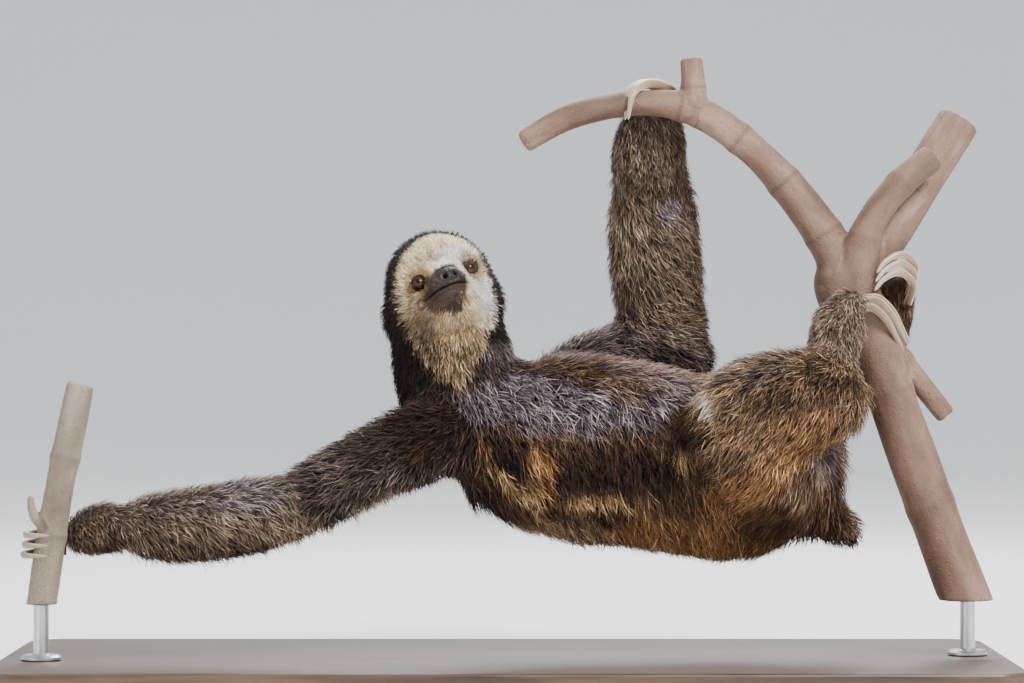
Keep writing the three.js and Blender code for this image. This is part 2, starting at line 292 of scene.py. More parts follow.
for side in (1, -1):
    off = np.hypot(x - side * NOSTRIL["side"], (z - NOSTRIL["up"]) * 0.92)
    push -= NOSTRIL["deep"] * ease(40, 46, y) * np.exp(-((off / NOSTRIL["radius"]) ** 2))
    push += 0.45 * ease(40, 46, y) * np.exp(-(((off - 3.0) / 0.8) ** 2))
local = local + outward * push[:, None]


def round_eye(local, side):
    """How far points are from an eye's middle, their heading, and their angles beyond the opening."""
    gaze = unit(np.array([side * EYE_GAZE[0], EYE_GAZE[1], EYE_GAZE[2]]))
    along_lids = unit(np.cross([0, 0, 1.0], gaze))
    ray = local - [side * EYE_SIDE, EYE_FORWARD, EYE_UP]
    reach = np.linalg.norm(ray, axis=1)
    heading = ray / reach[:, None]
    angle = np.degrees(np.arccos(np.clip(heading @ gaze, -1, 1)))
    round_x, round_z = heading @ along_lids, heading @ np.cross(gaze, along_lids)
    corner = round_x**2 / (round_x**2 + round_z**2 + 1e-9)
    opening = LID_OPENING[0] * corner + LID_OPENING[1] * (1 - corner)
    return gaze, reach, heading, angle, opening


lid_edge = np.zeros(len(local))
for side in (1, -1):
    gaze, reach, heading, angle, opening = round_eye(local, side)
    near = reach < 15
    on_edge = near & (np.abs(angle - opening) < 3.2)
    sideways = unit(heading - gaze * (heading @ gaze)[:, None])
    settled = np.radians(opening)[:, None]
    heading = np.where(on_edge[:, None], gaze * np.cos(settled) + sideways * np.sin(settled), heading)
    roll = 0.4 * np.exp(-(((angle - opening - 7) / 5) ** 2)) - 0.5 * ease(16, 34, angle - opening)
    lid = np.maximum(reach, LID_RADIUS + roll)
    lid = np.where(angle < opening - 3.2, 5.0, np.where(on_edge, LID_RADIUS - 0.25, lid))
    moved = np.array([side * EYE_SIDE, EYE_FORWARD, EYE_UP]) + heading * lid[:, None]
    local = np.where(near[:, None], moved, local)
    lid_edge = np.maximum(
        lid_edge, (1 - ease(8.6, 9.8, reach)) * (1 - ease(LID_BREADTH - 5, LID_BREADTH + 3, angle - opening))
    )
hide_points = local @ HEAD_AXES + HEAD_AT
put(hide_mesh, hide_points)
hide_mesh.shade_smooth()
hide_object = new_object("hide", hide_mesh)

# ---------------------------------------------------------------- markings
# The coat's colours: a pale face and throat in a dark hood, grizzled arms, a silvery belly, black
# and straw bars along the flank and golden legs. Each hair is dark at its root and pale at its tip.

HAIR = {  # colour at the root and at the tip
    "cream": ((0.42, 0.285, 0.145), (1.0, 0.79, 0.49)),
    "white": ((0.62, 0.58, 0.56), (1.0, 0.98, 0.97)),
    "honey": ((0.15, 0.085, 0.036), (0.54, 0.345, 0.165)),
    "hood": ((0.006, 0.004, 0.003), (0.026, 0.017, 0.014)),
    "muzzle": ((0.008, 0.006, 0.0055), (0.055, 0.038, 0.032)),
    "chin": ((0.014, 0.0095, 0.0075), (0.135, 0.083, 0.060)),
    "lip": ((0.022, 0.017, 0.0155), (0.155, 0.118, 0.104)),
    "grizzle": ((0.045, 0.028, 0.018), (0.33, 0.24, 0.165)),
    "dusky": ((0.014, 0.0095, 0.0075), (0.155, 0.112, 0.091)),
    "silver": ((0.024, 0.017, 0.017), (0.375, 0.305, 0.335)),
    "slate": ((0.018, 0.012, 0.010), (0.30, 0.25, 0.225)),
    "umber": ((0.006, 0.0035, 0.0025), (0.050, 0.026, 0.015)),
    "black": ((0.003, 0.002, 0.0015), (0.013, 0.008, 0.006)),
    "russet": ((0.024, 0.013, 0.009), (0.165, 0.098, 0.070)),
    "rose": ((0.050, 0.031, 0.025), (0.46, 0.315, 0.27)),
    "brown": ((0.020, 0.011, 0.007), (0.170, 0.096, 0.056)),
    "tan": ((0.120, 0.050, 0.018), (0.52, 0.275, 0.115)),
    "straw": ((0.20, 0.105, 0.042), (0.68, 0.435, 0.220)),
    "gold": ((0.040, 0.022, 0.012), (0.34, 0.212, 0.120)),
    "ash": ((0.062, 0.040, 0.027), (0.38, 0.275, 0.19)),
    "lilac": ((0.060, 0.042, 0.040), (0.46, 0.37, 0.38)),
}
PART_HAIR = {
    "head": "hood", "neck": "hood", "trunk": "brown", "tail": "brown", "upper_arm": "dusky",
    "forearm": "grizzle", "hand": "grizzle", "thigh": "gold", "shin": "gold", "foot": "ash",
    "foot_left": "brown",
}

# Patches on the animal's right side: hair, middle (x, z), half length, half width, slope in degrees
# and strength.
PATCHES = [
    ("slate", (31, 258), 59, 11, -3, 0.8),  # belly
    ("dusky", (-24, 240), 33, 15, 18, 0.85),
    ("silver", (31, 217), 64, 20, -9, 0.95),
    ("silver", (-16, 212), 23, 11, -10, 0.7),
    ("umber", (-43, 244), 26, 9, 45, 0.9),
    ("lilac", (34, 214), 25, 10, -10, 0.5),
    ("rose", (112, 240), 40, 13, -14, 0.85),
    ("rose", (92, 222), 22, 8, -20, 0.5),
    ("lilac", (128, 223), 19, 9, 28, 0.8),
    ("silver", (106, 207), 20, 9, 10, 0.6),
    ("umber", (-59, 200), 33, 28, 0, 0.95),  # shoulder and flank
    ("umber", (84, 170), 61, 19, -3, 0.95),
    ("umber", (6, 186), 31, 9, -4, 0.85),
    ("tan", (-17, 184), 9, 5, -55, 0.9),
    ("tan", (28, 170), 23, 9, -78, 0.9),
    ("black", (4, 175), 12, 9, -45, 0.95),
    ("straw", (12, 156), 44, 5, -39, 1.0),
    ("black", (-6, 140), 20, 6, -42, 0.95),
    ("black", (37, 142), 8, 5, -60, 0.9),
    ("straw", (75, 147), 34, 6, -5, 0.95),
    ("black", (81, 135), 21, 5, -3, 0.95),
    ("straw", (58, 124), 46, 8, -6, 0.75),
    ("ash", (70, 123), 44, 9, -6, 0.6),
    # Tan and straw along the lower edge: golden hair, painted lighter for light reflected up from below.
    ("tan", (128, 122), 50, 18, -4, 0.75),
    ("straw", (140, 116), 40, 8, -4, 0.35),
    ("tan", (188, 128), 40, 26, 10, 0.55),
    ("brown", (118, 145), 31, 9, 0, 0.6),
    ("grizzle", (190, 247), 52, 10, 18, 0.75),  # thigh and rump
    ("dusky", (186, 234), 40, 10, 18, 0.6),
    ("lilac", (159, 249), 15, 5, 35, 0.6),
    ("brown", (222, 226), 44, 14, 10, 0.75),
    ("umber", (144, 195), 26, 8, 80, 0.9),
    ("straw", (161, 219), 15, 7, -62, 1.0),
    ("white", (161, 219), 13, 5, -62, 0.35),
    ("straw", (172, 228), 18, 3, 40, 0.5),
    ("straw", (187, 221), 17, 3, 38, 0.3),
    ("straw", (178, 196), 20, 6, 18, 0.35),
    ("black", (153, 196), 8, 6, 0, 0.9),
    ("straw", (143, 180), 9, 5, 75, 0.9),
    ("umber", (153, 176), 9, 4, 70, 0.8),
    ("umber", (239, 247), 8, 5, 0, 0.5),
    ("umber", (255, 235), 9, 5, 20, 0.5),
    ("tan", (227, 205), 35, 12, 15, 0.5),
    ("tan", (202, 170), 62, 15, 30, 0.7),
    ("umber", (209, 132), 22, 18, 0, 0.75),
    ("lilac", (246, 176), 14, 12, -20, 0.45),
    ("russet", (230, 162), 14, 12, 10, 0.6),
    ("umber", (238, 271), 5, 7, 0, 0.7),
    # The first lilac patch, on the stretched forearm, is painted sheen.
    ("lilac", (-204, 145), 30, 13, 12, 0.8),  # stretched arm
    ("ash", (-225, 128), 34, 10, 8, 0.6),
    ("ash", (-169, 123), 30, 10, 12, 0.75),
    ("umber", (-196, 107), 35, 5, 8, 0.8),
    ("cream", (-102, 147), 24, 4, 22, 0.8),
    ("umber", (-86, 192), 35, 14, 28, 0.7),
    ("brown", (-322, 121), 20, 20, 0, 0.5),
]
ARM_PATCHES = [  # the same, on the raised arm
    # The first lilac patch, high on the raised forearm, is a painted highlight.
    ("lilac", (132, 376), 14, 7, 80, 0.9),
    ("lilac", (82, 284), 20, 10, 35, 0.7),
    ("umber", (128, 258), 26, 12, -15, 0.6),
    ("lilac", (159, 323), 21, 5, -80, 0.5),
]

# The pale face and throat as seen from in front: its right and left edges at each height.
FACE_UP = (-80, -70, -56, -42, -30, -15, 0, 16, 27.5, 37)
FACE_RIGHT = (10, 22, 28, 31, 34.5, 36.5, 34.5, 29, 20.5, 0)
FACE_LEFT = (10, -4, -14, -25, -32, -33, -32, -30.5, -21, -4)
FACE_FRONT = (-2, -2, 0, 2, 5, 6, 11, 16, 22, 25)

# Soft spots on the pale face: hair, middle (x, z), half width, half height and strength. The white spots on
# the brow and the animal's left side are pale fur with painted highlight where the light falls, and the
# dusky spot low on the animal's right is painted shade.
FACE_SPOTS = [
    ("white", -10, 10, 16, 9, 1.0), ("white", -14, -4, 5, 9, 0.9), ("white", -30, -22, 12, 24, 1.0),
    ("honey", -2, -42, 13, 8, 0.8), ("grizzle", 6, 14, 6, 4.5, 0.8), ("dusky", 25, -38, 6, 13, 0.8),
]

# The dark nose, lips and chin, in the same way as the pale face.
MUZZLE_UP = (-35, -29, -23, -14, -8, -4, 4)
MUZZLE_RIGHT = (2, 15, 22.5, 25, 21, 15, 8)
MUZZLE_LEFT = (-2, -6.5, -9.5, -14.5, -13.5, -11, -9)


def pick(hair):
    return np.array(HAIR[hair])


def over(colours, hair, strength):
    """Lays a hair colour over what is there, by a strength from 0 to 1 at each point."""
    strength = np.clip(strength, 0, 1)[:, None, None]
    return colours * (1 - strength) + pick(hair) * strength


def patched(colours, points, patches, amount):
    """Lays oval patches over the colours, seen square to X and Z."""
    for hair, (at_x, at_z), half_long, half_wide, slope, strength in patches:
        slope = math.radians(slope)
        dx, dz = points[:, 0] - at_x, points[:, 2] - at_z
        along = (dx * math.cos(slope) + dz * math.sin(slope)) / half_long
        across = (-dx * math.sin(slope) + dz * math.cos(slope)) / half_wide
        inside = 1 - ease(0.72, 1.18, np.hypot(along, across))
        colours = over(colours, hair, strength * inside * amount)
    return colours


def spot(x, z, at_x, at_z, wide, high):
    """1 in the middle of a soft oval of the face, falling to 0 outside it."""
    return np.exp(-(((x - at_x) / wide) ** 2 + ((z - at_z) / high) ** 2))


def muzzle_mask(local):
    """1 over the dark nose, lips and chin."""
    x, y, z = local.T
    inside = ease(-2.6, 3.4, np.interp(z, MUZZLE_UP, MUZZLE_RIGHT) - x)
    inside *= ease(-2.6, 3.0, x - np.interp(z, MUZZLE_UP, MUZZLE_LEFT))
    return inside * ease(22, 30, y) * ease(-38, -32, z) * (1 - ease(2, 6, z))


def coat_colours(points, facing, shares):
    """Root and tip colours at each point, from where it is on the body and which way it faces."""
    local = in_head(points)
    parts = np.array([pick(PART_HAIR.get(node) or PART_HAIR[node.rsplit("_", 1)[0]]) for node in FLESH])
    colours = np.einsum("np,pkc->nkc", shares, parts)

    # The raised arm is darker above the elbow. The stretched one has a painted sheen of slate along its top
    # and painted shade of dusky hair underneath.
    raised_arm = share(shares, "upper_arm_left") + share(shares, "forearm_left") + share(shares, "hand_left")
    colours = over(colours, "slate", 0.5 * share(shares, "upper_arm_left"))
    colours = over(colours, "dusky", 0.35 * share(shares, "hand_left"))
    colours = over(colours, "brown", 0.45 * raised_arm * ease(0.0, 0.9, facing[:, 0]))
    colours = patched(colours, points, ARM_PATCHES, raised_arm)
    forearm = share(shares, "forearm_right")
    colours = over(colours, "slate", 0.5 * forearm * ease(0.0, 0.7, facing[:, 2]))
    colours = over(colours, "dusky", 0.6 * forearm * ease(0.3, 0.9, -facing[:, 2]))

    # The back is brown and dark along its middle. The near side has the marked patches.
    trunk = share(shares, "trunk") + share(shares, "neck")
    behind = ease(10, 30, points[:, 1]) * trunk
    colours = over(colours, "umber", 0.6 * behind * ease(0.0, 0.8, -facing[:, 2]))
    near_side = ease(-4, 14, 30 + 30 * ease(0.0, 0.7, -facing[:, 2]) - points[:, 1])
    body = np.clip(1 - share(shares, "head") - raised_arm, 0, 1)
    colours = patched(colours, points, PATCHES, near_side * body)

    # The face and throat.
    x, y, z = local.T
    right = np.interp(z, FACE_UP, FACE_RIGHT)
    left = np.interp(z, FACE_UP, FACE_LEFT)
    front = np.interp(z, FACE_UP, FACE_FRONT)
    pale = ease(-2.5, 2.5, right - x) * ease(-2.5, 2.5, x - left) * ease(-2.5, 2.5, y - front)
    pale *= (share(shares, "head") + share(shares, "neck")) ** 0.5 * ease(-84, -68, z)
    colours = over(colours, "cream", pale)
    # The honey, grizzle and brown laid by x over the animal's right of the lower face are painted shade on
    # the side turned from the light.
    colours = over(colours, "honey", 0.95 * pale * ease(-2, 20, x) * ease(10, 26, -z))
    colours = over(colours, "honey", 0.8 * pale * ease(36, 58, -z))
    colours = over(colours, "grizzle", 0.45 * pale * ease(30, 60, -z))
    colours = over(colours, "grizzle", 0.6 * pale * ease(10, 24, x) * ease(14, 26, -z))
    colours = over(colours, "brown", 0.5 * pale * ease(15, 28, x) * ease(12, 24, -z))
    for hair, at_x, at_z, wide, high, strength in FACE_SPOTS:
        colours = over(colours, hair, strength * pale * spot(x, z, at_x, at_z, wide, high))
    muzzle = muzzle_mask(local)
    colours = over(colours, "muzzle", muzzle)
    colours = over(colours, "lip", 0.85 * muzzle * spot(x, z, 14, -8, 8, 6))
    colours = over(colours, "chin", 0.9 * muzzle * ease(17, 20, -z) * (1 - spot(x, z, -2, -32, 7, 4)))
    for side in (1, -1):
        _, reach, _, angle, opening = round_eye(local, side)
        beyond = angle - opening
        colours = over(colours, "honey", 0.75 * (1 - ease(10, 15, reach)))
        ring = (1 - ease(LID_BREADTH - 2, LID_BREADTH + 9, beyond)) * (1 - ease(9.3, 11.0, reach))
        colours = over(colours, "umber", ring * ease(10, 14, y))
    colours = over(colours, "umber", 0.85 * pale * spot(x, z, 29.5, -11, 3.5, 8))
    colours = over(colours, "dusky", 0.8 * pale * spot(x, z, 15, -3, 4, 5))
    return colours


def write_colours(mesh, name, colours):
    attribute = mesh.attributes.new(name, "FLOAT_COLOR", "POINT")
    rgba = np.concatenate([colours, np.ones((len(colours), 1))], axis=1)
    attribute.data.foreach_set("color", rgba.astype(np.float32).ravel())


def write_values(mesh, name, values):
    attribute = mesh.attributes.new(name, "FLOAT", "POINT")
    attribute.data.foreach_set("value", values.astype(np.float32))


hide_facing = normals_of(hide_mesh)
hide_colours = coat_colours(hide_points, hide_facing, share_of)
hide_local = in_head(hide_points)
lid_colour = np.array([0.012, 0.006, 0.0045])
# The colour of the painted shade in the nostrils and along the mouth's crease.
recess_shade_colour = np.array([0.002, 0.0015, 0.0015])
in_muzzle = muzzle_mask(hide_local) * share(share_of, "head")
bare = np.maximum(in_muzzle, lid_edge)
skin_colours = hide_colours[:, 0] * 0.85 + hide_colours[:, 1] * 0.15
skin_colours += (lid_colour - skin_colours) * lid_edge[:, None]
# Painted shade: the nostrils and the crease of the mouth are darkened nearly to black.
across_mouth = hide_local[:, 2] - MOUTH_UP - MOUTH_CURL * (hide_local[:, 0] / MOUTH_HALF) ** 2
recess_shade = np.exp(-((across_mouth / 0.6) ** 2)) * (np.abs(hide_local[:, 0] - MOUTH_SHIFT) < MOUTH_HALF)
for side in (1, -1):
    off = np.hypot(hide_local[:, 0] - side * NOSTRIL["side"], hide_local[:, 2] - NOSTRIL["up"])
    recess_shade = np.maximum(recess_shade, 1 - ease(1.2, 2.0, off))
recess_shade *= in_muzzle
skin_colours += (recess_shade_colour - skin_colours) * recess_shade[:, None]
write_colours(hide_mesh, "coat", skin_colours)
write_values(hide_mesh, "bare", bare)


def new_material(name):
    """A material, the maker of its nodes and the setter of its shader's sockets."""
    material = bpy.data.materials.new(name)
    material.use_nodes = True
    tree = material.node_tree
    shader = next(node for node in tree.nodes if node.type == "BSDF_PRINCIPLED")

    def feed(node, socket, value):
        if isinstance(value, bpy.types.NodeSocket):
            tree.links.new(value, node.inputs[socket])
        else:
            node.inputs[socket].default_value = value

    def add(kind, sockets=None, **settings):
        node = tree.nodes.new(kind)
        for key, value in settings.items():
            if hasattr(node, key):
                setattr(node, key, value)
            else:
                feed(node, key.replace("_", " "), value)
        for socket, value in (sockets or {}).items():
            feed(node, socket, value)
        return node

    def surface(**sockets):
        for key, value in sockets.items():
            feed(shader, key.replace("_", " "), value)

    return material, add, surface


def ranged(add, value, low, high, **settings):
    """A pattern's value, brought between low and high."""
    return add("ShaderNodeMapRange", {"Value": value}, To_Min=low, To_Max=high, **settings).outputs["Result"]


def scaled(add, colour, by):
    """A colour times a value."""
    return add("ShaderNodeVectorMath", {0: colour, "Scale": by}, operation="SCALE").outputs["Vector"]


def mixed(add, share_of_second, first, second):
    """A mix of two colours."""
    mix = add("ShaderNodeMix", {"Factor": share_of_second, 6: first, 7: second}, data_type="RGBA")
    return mix.outputs[2]


def bumped(add, height, strength, distance):
    """A normal that follows a height."""
    return add("ShaderNodeBump", {"Height": height}, Strength=strength, Distance=distance).outputs["Normal"]


def ramp(node, stops):
    """Sets a colour ramp's stops: (place, grey or colour)."""
    elements = node.color_ramp.elements
    while len(elements) < len(stops):
        elements.new(0.5)
    for element, (place, colour) in zip(elements, stops):
        element.position = place
        element.color = (*colour, 1) if isinstance(colour, tuple) else (colour, colour, colour, 1)


hide_material, add, surface = new_material("tanned_hide")
place = add("ShaderNodeTexCoord").outputs["Object"]
coat = add("ShaderNodeAttribute", attribute_name="coat").outputs["Color"]
bare_amount = add("ShaderNodeAttribute", attribute_name="bare").outputs["Fac"]
mottle = add("ShaderNodeTexNoise", {"Vector": place}, Scale=240.0, Detail=5.0).outputs["Fac"]
pebble = add("ShaderNodeTexVoronoi", {"Vector": place}, Scale=1300.0).outputs["Distance"]
surface(
    Base_Color=scaled(add, coat, ranged(add, mottle, 0.72, 1.28)),
    Roughness=ranged(add, bare_amount, 0.85, 0.46),
    Specular_IOR_Level=0.22,
    Normal=bumped(add, pebble, 0.35, 0.0004),
)
hide_mesh.materials.clear()
hide_mesh.materials.append(hide_material)

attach(hide_object, "root")
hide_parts(*FLESH)

# ---------------------------------------------------------------- coat
# The hair, worked in thin locks that overlap like shingles and follow the lie of the coat. They
# are fine and short on the face, hands and feet, and long and loose on the body and the nape.

LOCKS_PER_PIECE = 16000
SEED = 7

# Length and width of a lock, and locks on each square millimetre.
LOCK_LENGTH = {
    "head": 9, "neck": 14, "trunk": 24, "tail": 13, "upper_arm": 19, "forearm": 18,
    "hand": 9, "thigh": 21, "shin": 18, "foot": 9,
}
LOCK_WIDTH = {
    "head": 0.8, "neck": 0.85, "trunk": 0.95, "tail": 0.95, "upper_arm": 0.9, "forearm": 0.85,
    "hand": 0.72, "thigh": 0.95, "shin": 0.9, "foot": 0.75,
}
LOCK_DENSITY = {
    "head": 1.0, "neck": 0.56, "trunk": 0.31, "tail": 0.32, "upper_arm": 0.33, "forearm": 0.37,
    "hand": 0.66, "thigh": 0.33, "shin": 0.37, "foot": 0.66,
}

# Where along a lock its two rings sit, and how wide it is there. It is pointed at both ends.
RING_AT = (0.34, 0.72)
RING_WIDTH = (1.0, 0.68)
LOCK_RISE = 0.42  # a lock's height against its width
LENGTH_SPREAD, WIDTH_SPREAD, DEPTH_SPREAD = (0.65, 1.25), (0.6, 1.25), (0.7, 1.25)
GUARD_SHARE = 0.16  # locks of long guard hair that stand apart from the wisps
WISP_TURN, WISP_GATHER, WISP_TONE, OWN_TONE = 0.17, 0.26, 0.14, 0.28
CURL, HEAD_CURL_CUT, BOW, DROOP = 0.17, 0.08, 0.05, 0.12  # sideways, upward and down, against length
UV_PATCH = 0.003
STRANDS_ACROSS, STRANDS_ALONG, STRAND_STRIDE = 1.2, 0.35, 1.37  # on the map that draws the strands

draw = np.random.default_rng(SEED)


def unwrap(made):
    """Opens the hide out flat, and gives the place of each corner."""
    bpy.context.view_layer.objects.active = made
    made.select_set(True)
    bpy.ops.object.mode_set(mode="EDIT")
    bpy.ops.mesh.select_all(action="SELECT")
    bpy.ops.uv.smart_project(angle_limit=math.radians(66), island_margin=0.002)
    bpy.ops.object.mode_set(mode="OBJECT")
    made.select_set(False)
    made.data.uv_layers[0].name = "OFBake"
    return read(made.data.uv_layers[0].uv, "vector", 2, np.float32)


hide_mesh.uv_layers.new(name="OFBake")
hide_uv = unwrap(hide_object)
hide_mesh.calc_loop_triangles()
corner_loops = read(hide_mesh.loop_triangles, "loops", 3, np.int32)
corner_verts = read(hide_mesh.loop_triangles, "vertices", 3, np.int32)


def face_distance(local):
    return np.linalg.norm(local - NOSE_AT, axis=1)


def mouth_distance(local):
    """How far above or below the mouth's line each point of the muzzle is."""
    line = MOUTH_UP + MOUTH_CURL * (local[:, 0] / MOUTH_HALF) ** 2
    return np.where(muzzle_mask(local) > 0.3, np.abs(local[:, 2] - line), 99)


def lock_density(local, shares):
    density = by_part(shares, LOCK_DENSITY)
    on_head = share(shares, "head")
    away = face_distance(local)
    fine = 0.78 + 2.1 * (1 - ease(34, 56, away))
    pad = np.hypot(local[:, 0] / 9.2, (local[:, 2] + 6.0) / 7.0)
    fine *= np.where(local[:, 1] > 38, ease(1.0, 1.25, pad), 1) * ease(0.9, 2.2, mouth_distance(local))
    density = density * (1 - on_head) + fine * on_head
    for side in (1, -1):
        _, reach, _, angle, opening = round_eye(local, side)
        open_ring = ease(LID_BREADTH - 3, LID_BREADTH + 5, angle - opening)
        density *= np.maximum(open_ring, ease(8.6, 9.8, reach))
    return density


corners = hide_points[corner_verts]
spread = np.cross(corners[:, 1] - corners[:, 0], corners[:, 2] - corners[:, 0])
area = np.linalg.norm(spread, axis=1) / 2
density = lock_density(in_head(corners.mean(1)), share_of[corner_verts].mean(1))
running = np.cumsum(area * density)
lock_count = int(running[-1])
spots = (np.arange(lock_count) + draw.random(lock_count)) / lock_count * running[-1]
chosen = np.minimum(np.searchsorted(running, spots), len(area) - 1)
mix = draw.dirichlet((1, 1, 1), lock_count)


def at_roots(values):
    """Values of the hide's vertices at the roots."""
    return np.einsum("nk,nk...->n...", mix, values[corner_verts[chosen]])


roots = at_roots(hide_points)
root_facing = unit(at_roots(hide_facing))
root_shares = at_roots(share_of)
root_uv = np.einsum("nk,nkc->nc", mix, hide_uv[corner_loops[chosen]])
root_local = in_head(roots)


def lie_of_coat(points, facing, shares, local):
    """Which way the hair points, along the skin."""
    fx, _, fz = facing.T
    x, y, z = points.T
    ones = np.ones(len(points))

    def field(dx, dy, dz):
        return np.stack([dx * ones, dy * ones, dz * ones], axis=1)

    parting = np.tanh((y + 6) / 16)
    tail_ward = 1.15 - 0.75 * ease(-20, 110, x) - 0.9 * ease(150, 215, x)
    steep = 0.45 + 0.75 * ease(235, 190, z) + 0.1 * ease(0, 1, -fz)
    trunk = field(tail_ward, 0.55 * parting * ease(0.1, 0.9, fz), -steep)
    low_edge = ease(60, 20, x) * ease(170, 140, z)
    trunk += field(0.45 * low_edge, 0, 0)
    elbow_up = ease(320, 285, z)
    outer = 0.5 + 0.6 * ease(-0.7, 0.3, fx)
    raised = field(outer * (0.85 + 0.8 * elbow_up), 0, -1 + 0.75 * elbow_up)
    stretched = field(1.2 + 0.4 * fz, 0, -0.75)
    under = ease(0.25, 0.9, -fz)[:, None]
    above_elbow = field(-1, 0, -0.35) * (1 - under) + field(0.3, 0, -1) * under
    radial = unit(local - (NOSE_AT + [0, -18, -2]))
    for side in (1, -1):
        _, reach, heading, _, _ = round_eye(local, side)
        radial += heading * (2.2 * (1 - ease(9, 16, reach)))[:, None]
    radial = radial @ HEAD_AXES
    fall = field(0.05, 0, -1)
    hooded = 1 - ease(0, 14, local[:, 1])
    radial *= (1 - 0.75 * hooded)[:, None]
    radial = radial + fall * (0.9 * ease(20, 70, -local[:, 2]) + 1.0 * hooded)[:, None]
    lies = {
        "head": radial,
        "neck": field(0.12 - 0.35 * ease(0, 30, -x - 60), 0, -1),
        "trunk": trunk,
        "tail": field(0.7, 0, -1),
        "upper_arm_right": above_elbow,
        "forearm_right": stretched,
        "hand_right": field(0.8, 0, -0.6),
        "upper_arm_left": field(0.9, 0, -0.45),
        "forearm_left": raised,
        "hand_left": field(0.1, 0, -1),
        "thigh_right": field(-0.75, 0, -0.8),
        "shin_right": field(-0.75, 0, -0.62),
        "foot_right": field(-0.35, 0, -1),
        "thigh_left": field(-0.4, 0.3, -0.9),
        "shin_left": field(-0.5, 0.2, -0.9),
        "foot_left": field(-0.1, 0, -1),
    }
    lie = sum(unit(lies[node]) * share(shares, node)[:, None] for node in FLESH)
    lie -= facing * (lie * facing).sum(1)[:, None]
    return unit(lie)


def turned(vectors, axes, angles):
    """Vectors turned about axes that they are square to."""
    return vectors * np.cos(angles)[:, None] + np.cross(axes, vectors) * np.sin(angles)[:, None]


# Locks gather to their neighbours' tips in wisps, each with its own slight turn and tone.
long_hair = by_part(root_shares, LOCK_LENGTH)
away = face_distance(root_local)
on_head = share(root_shares, "head")
face_length = 2.8 + 5.4 * ease(10, 40, away) + 6 * ease(46, 84, away)
length = long_hair * (1 - on_head) + face_length * on_head
throat = ease(0, 12, root_local[:, 1]) * share(root_shares, "neck")
length *= 1 - 0.3 * throat
length *= 0.5 + 0.5 * ease(2, 6, mouth_distance(root_local))
for side in (1, -1):
    length *= 0.4 + 0.6 * ease(8, 17, round_eye(root_local, side)[1])
length *= draw.uniform(*LENGTH_SPREAD, lock_count)
depth = coat_depth(root_local, root_shares)
width = by_part(root_shares, LOCK_WIDTH)
face_width = 0.34 + 0.40 * ease(16, 60, away)
width = width * (1 - on_head) + face_width * on_head
width *= draw.uniform(*WIDTH_SPREAD, lock_count)

wisp_size = 1.5 + 0.26 * np.clip(length, 0, 22)
wisp_chance = 1.6 / (np.pi * wisp_size**2 * lock_density(root_local, root_shares) + 1e-6)
head_index = np.nonzero(draw.random(lock_count) < wisp_chance)[0]
wisp_tree = KDTree(len(head_index))
for order, index in enumerate(head_index):
    wisp_tree.insert(roots[index], order)
wisp_tree.balance()
wisp = np.array([wisp_tree.find(root)[1] for root in roots])
wisp_root = roots[head_index][wisp]
wisp_turn = draw.normal(0, WISP_TURN, len(head_index))[wisp]
wisp_tone = draw.normal(0, 1, len(head_index))[wisp]
wisp_shift = draw.normal(0, 1, (len(head_index), 3))[wisp]

lie = lie_of_coat(roots, root_facing, root_shares, root_local)
guard = draw.random(lock_count) < GUARD_SHARE
loose = (0.22 - 0.10 * on_head) * (1 + 0.7 * guard)
lie = turned(lie, root_facing, wisp_turn * (1 - 0.5 * on_head) + draw.normal(0, 1, lock_count) * loose)
side_on = np.cross(root_facing, lie)

# The dark hood stands out round the cheeks and crown like a ruff.
ruff = share(root_shares, "head") * (1 - ease(6, 22, root_local[:, 1]))
width = width * (1 - 0.35 * guard)
standing = depth * draw.uniform(*DEPTH_SPREAD, lock_count) * (1 + 0.12 * guard) + 1.3 * ruff
rise = np.clip(standing / length, 0.05, 0.8)
run = length * np.sqrt(1 - rise**2)
gather = WISP_GATHER * (1 - 0.6 * on_head) * (1 - guard)
toward = (wisp_root - roots) * gather[:, None]
toward -= root_facing * (toward * root_facing).sum(1)[:, None]
curl = draw.normal(0, 1, lock_count) * length * (CURL - HEAD_CURL_CUT * on_head)
bow = draw.normal(0, BOW, lock_count) * length
droop = np.array([0, 0, -1]) + root_facing * root_facing[:, 2:3]
droop = droop * (DROOP * length * (1 - on_head))[:, None]


def lock_line(share_along):
    """Where each lock's middle is at a share of its length."""
    s = share_along
    lift = rise * length * (1.8 * s - 0.8 * s * s) + bow * math.sin(math.pi * s) - 0.6 * (1 - s)
    line = roots + lie * (run * s)[:, None] + root_facing * lift[:, None]
    return line + side_on * (curl * s * s)[:, None] + toward * s**1.5 + droop * s * s


middles = [lock_line(s) for s in (0.0, *RING_AT, 1.0)]
lock_points = np.empty((lock_count, 8, 3))
lock_points[:, 0], lock_points[:, 7] = middles[0], middles[3]
for ring, scale in enumerate(RING_WIDTH):
    heading = unit(middles[ring + 2] - middles[ring])
    flank = unit(np.cross(root_facing, heading))
    top = np.cross(heading, flank)
    half = (width * scale / 2)[:, None]
    first = 1 + 3 * ring
    lock_points[:, first] = middles[ring + 1] + flank * half
    lock_points[:, first + 1] = middles[ring + 1] + top * half * 2 * LOCK_RISE
    lock_points[:, first + 2] = middles[ring + 1] - flank * half

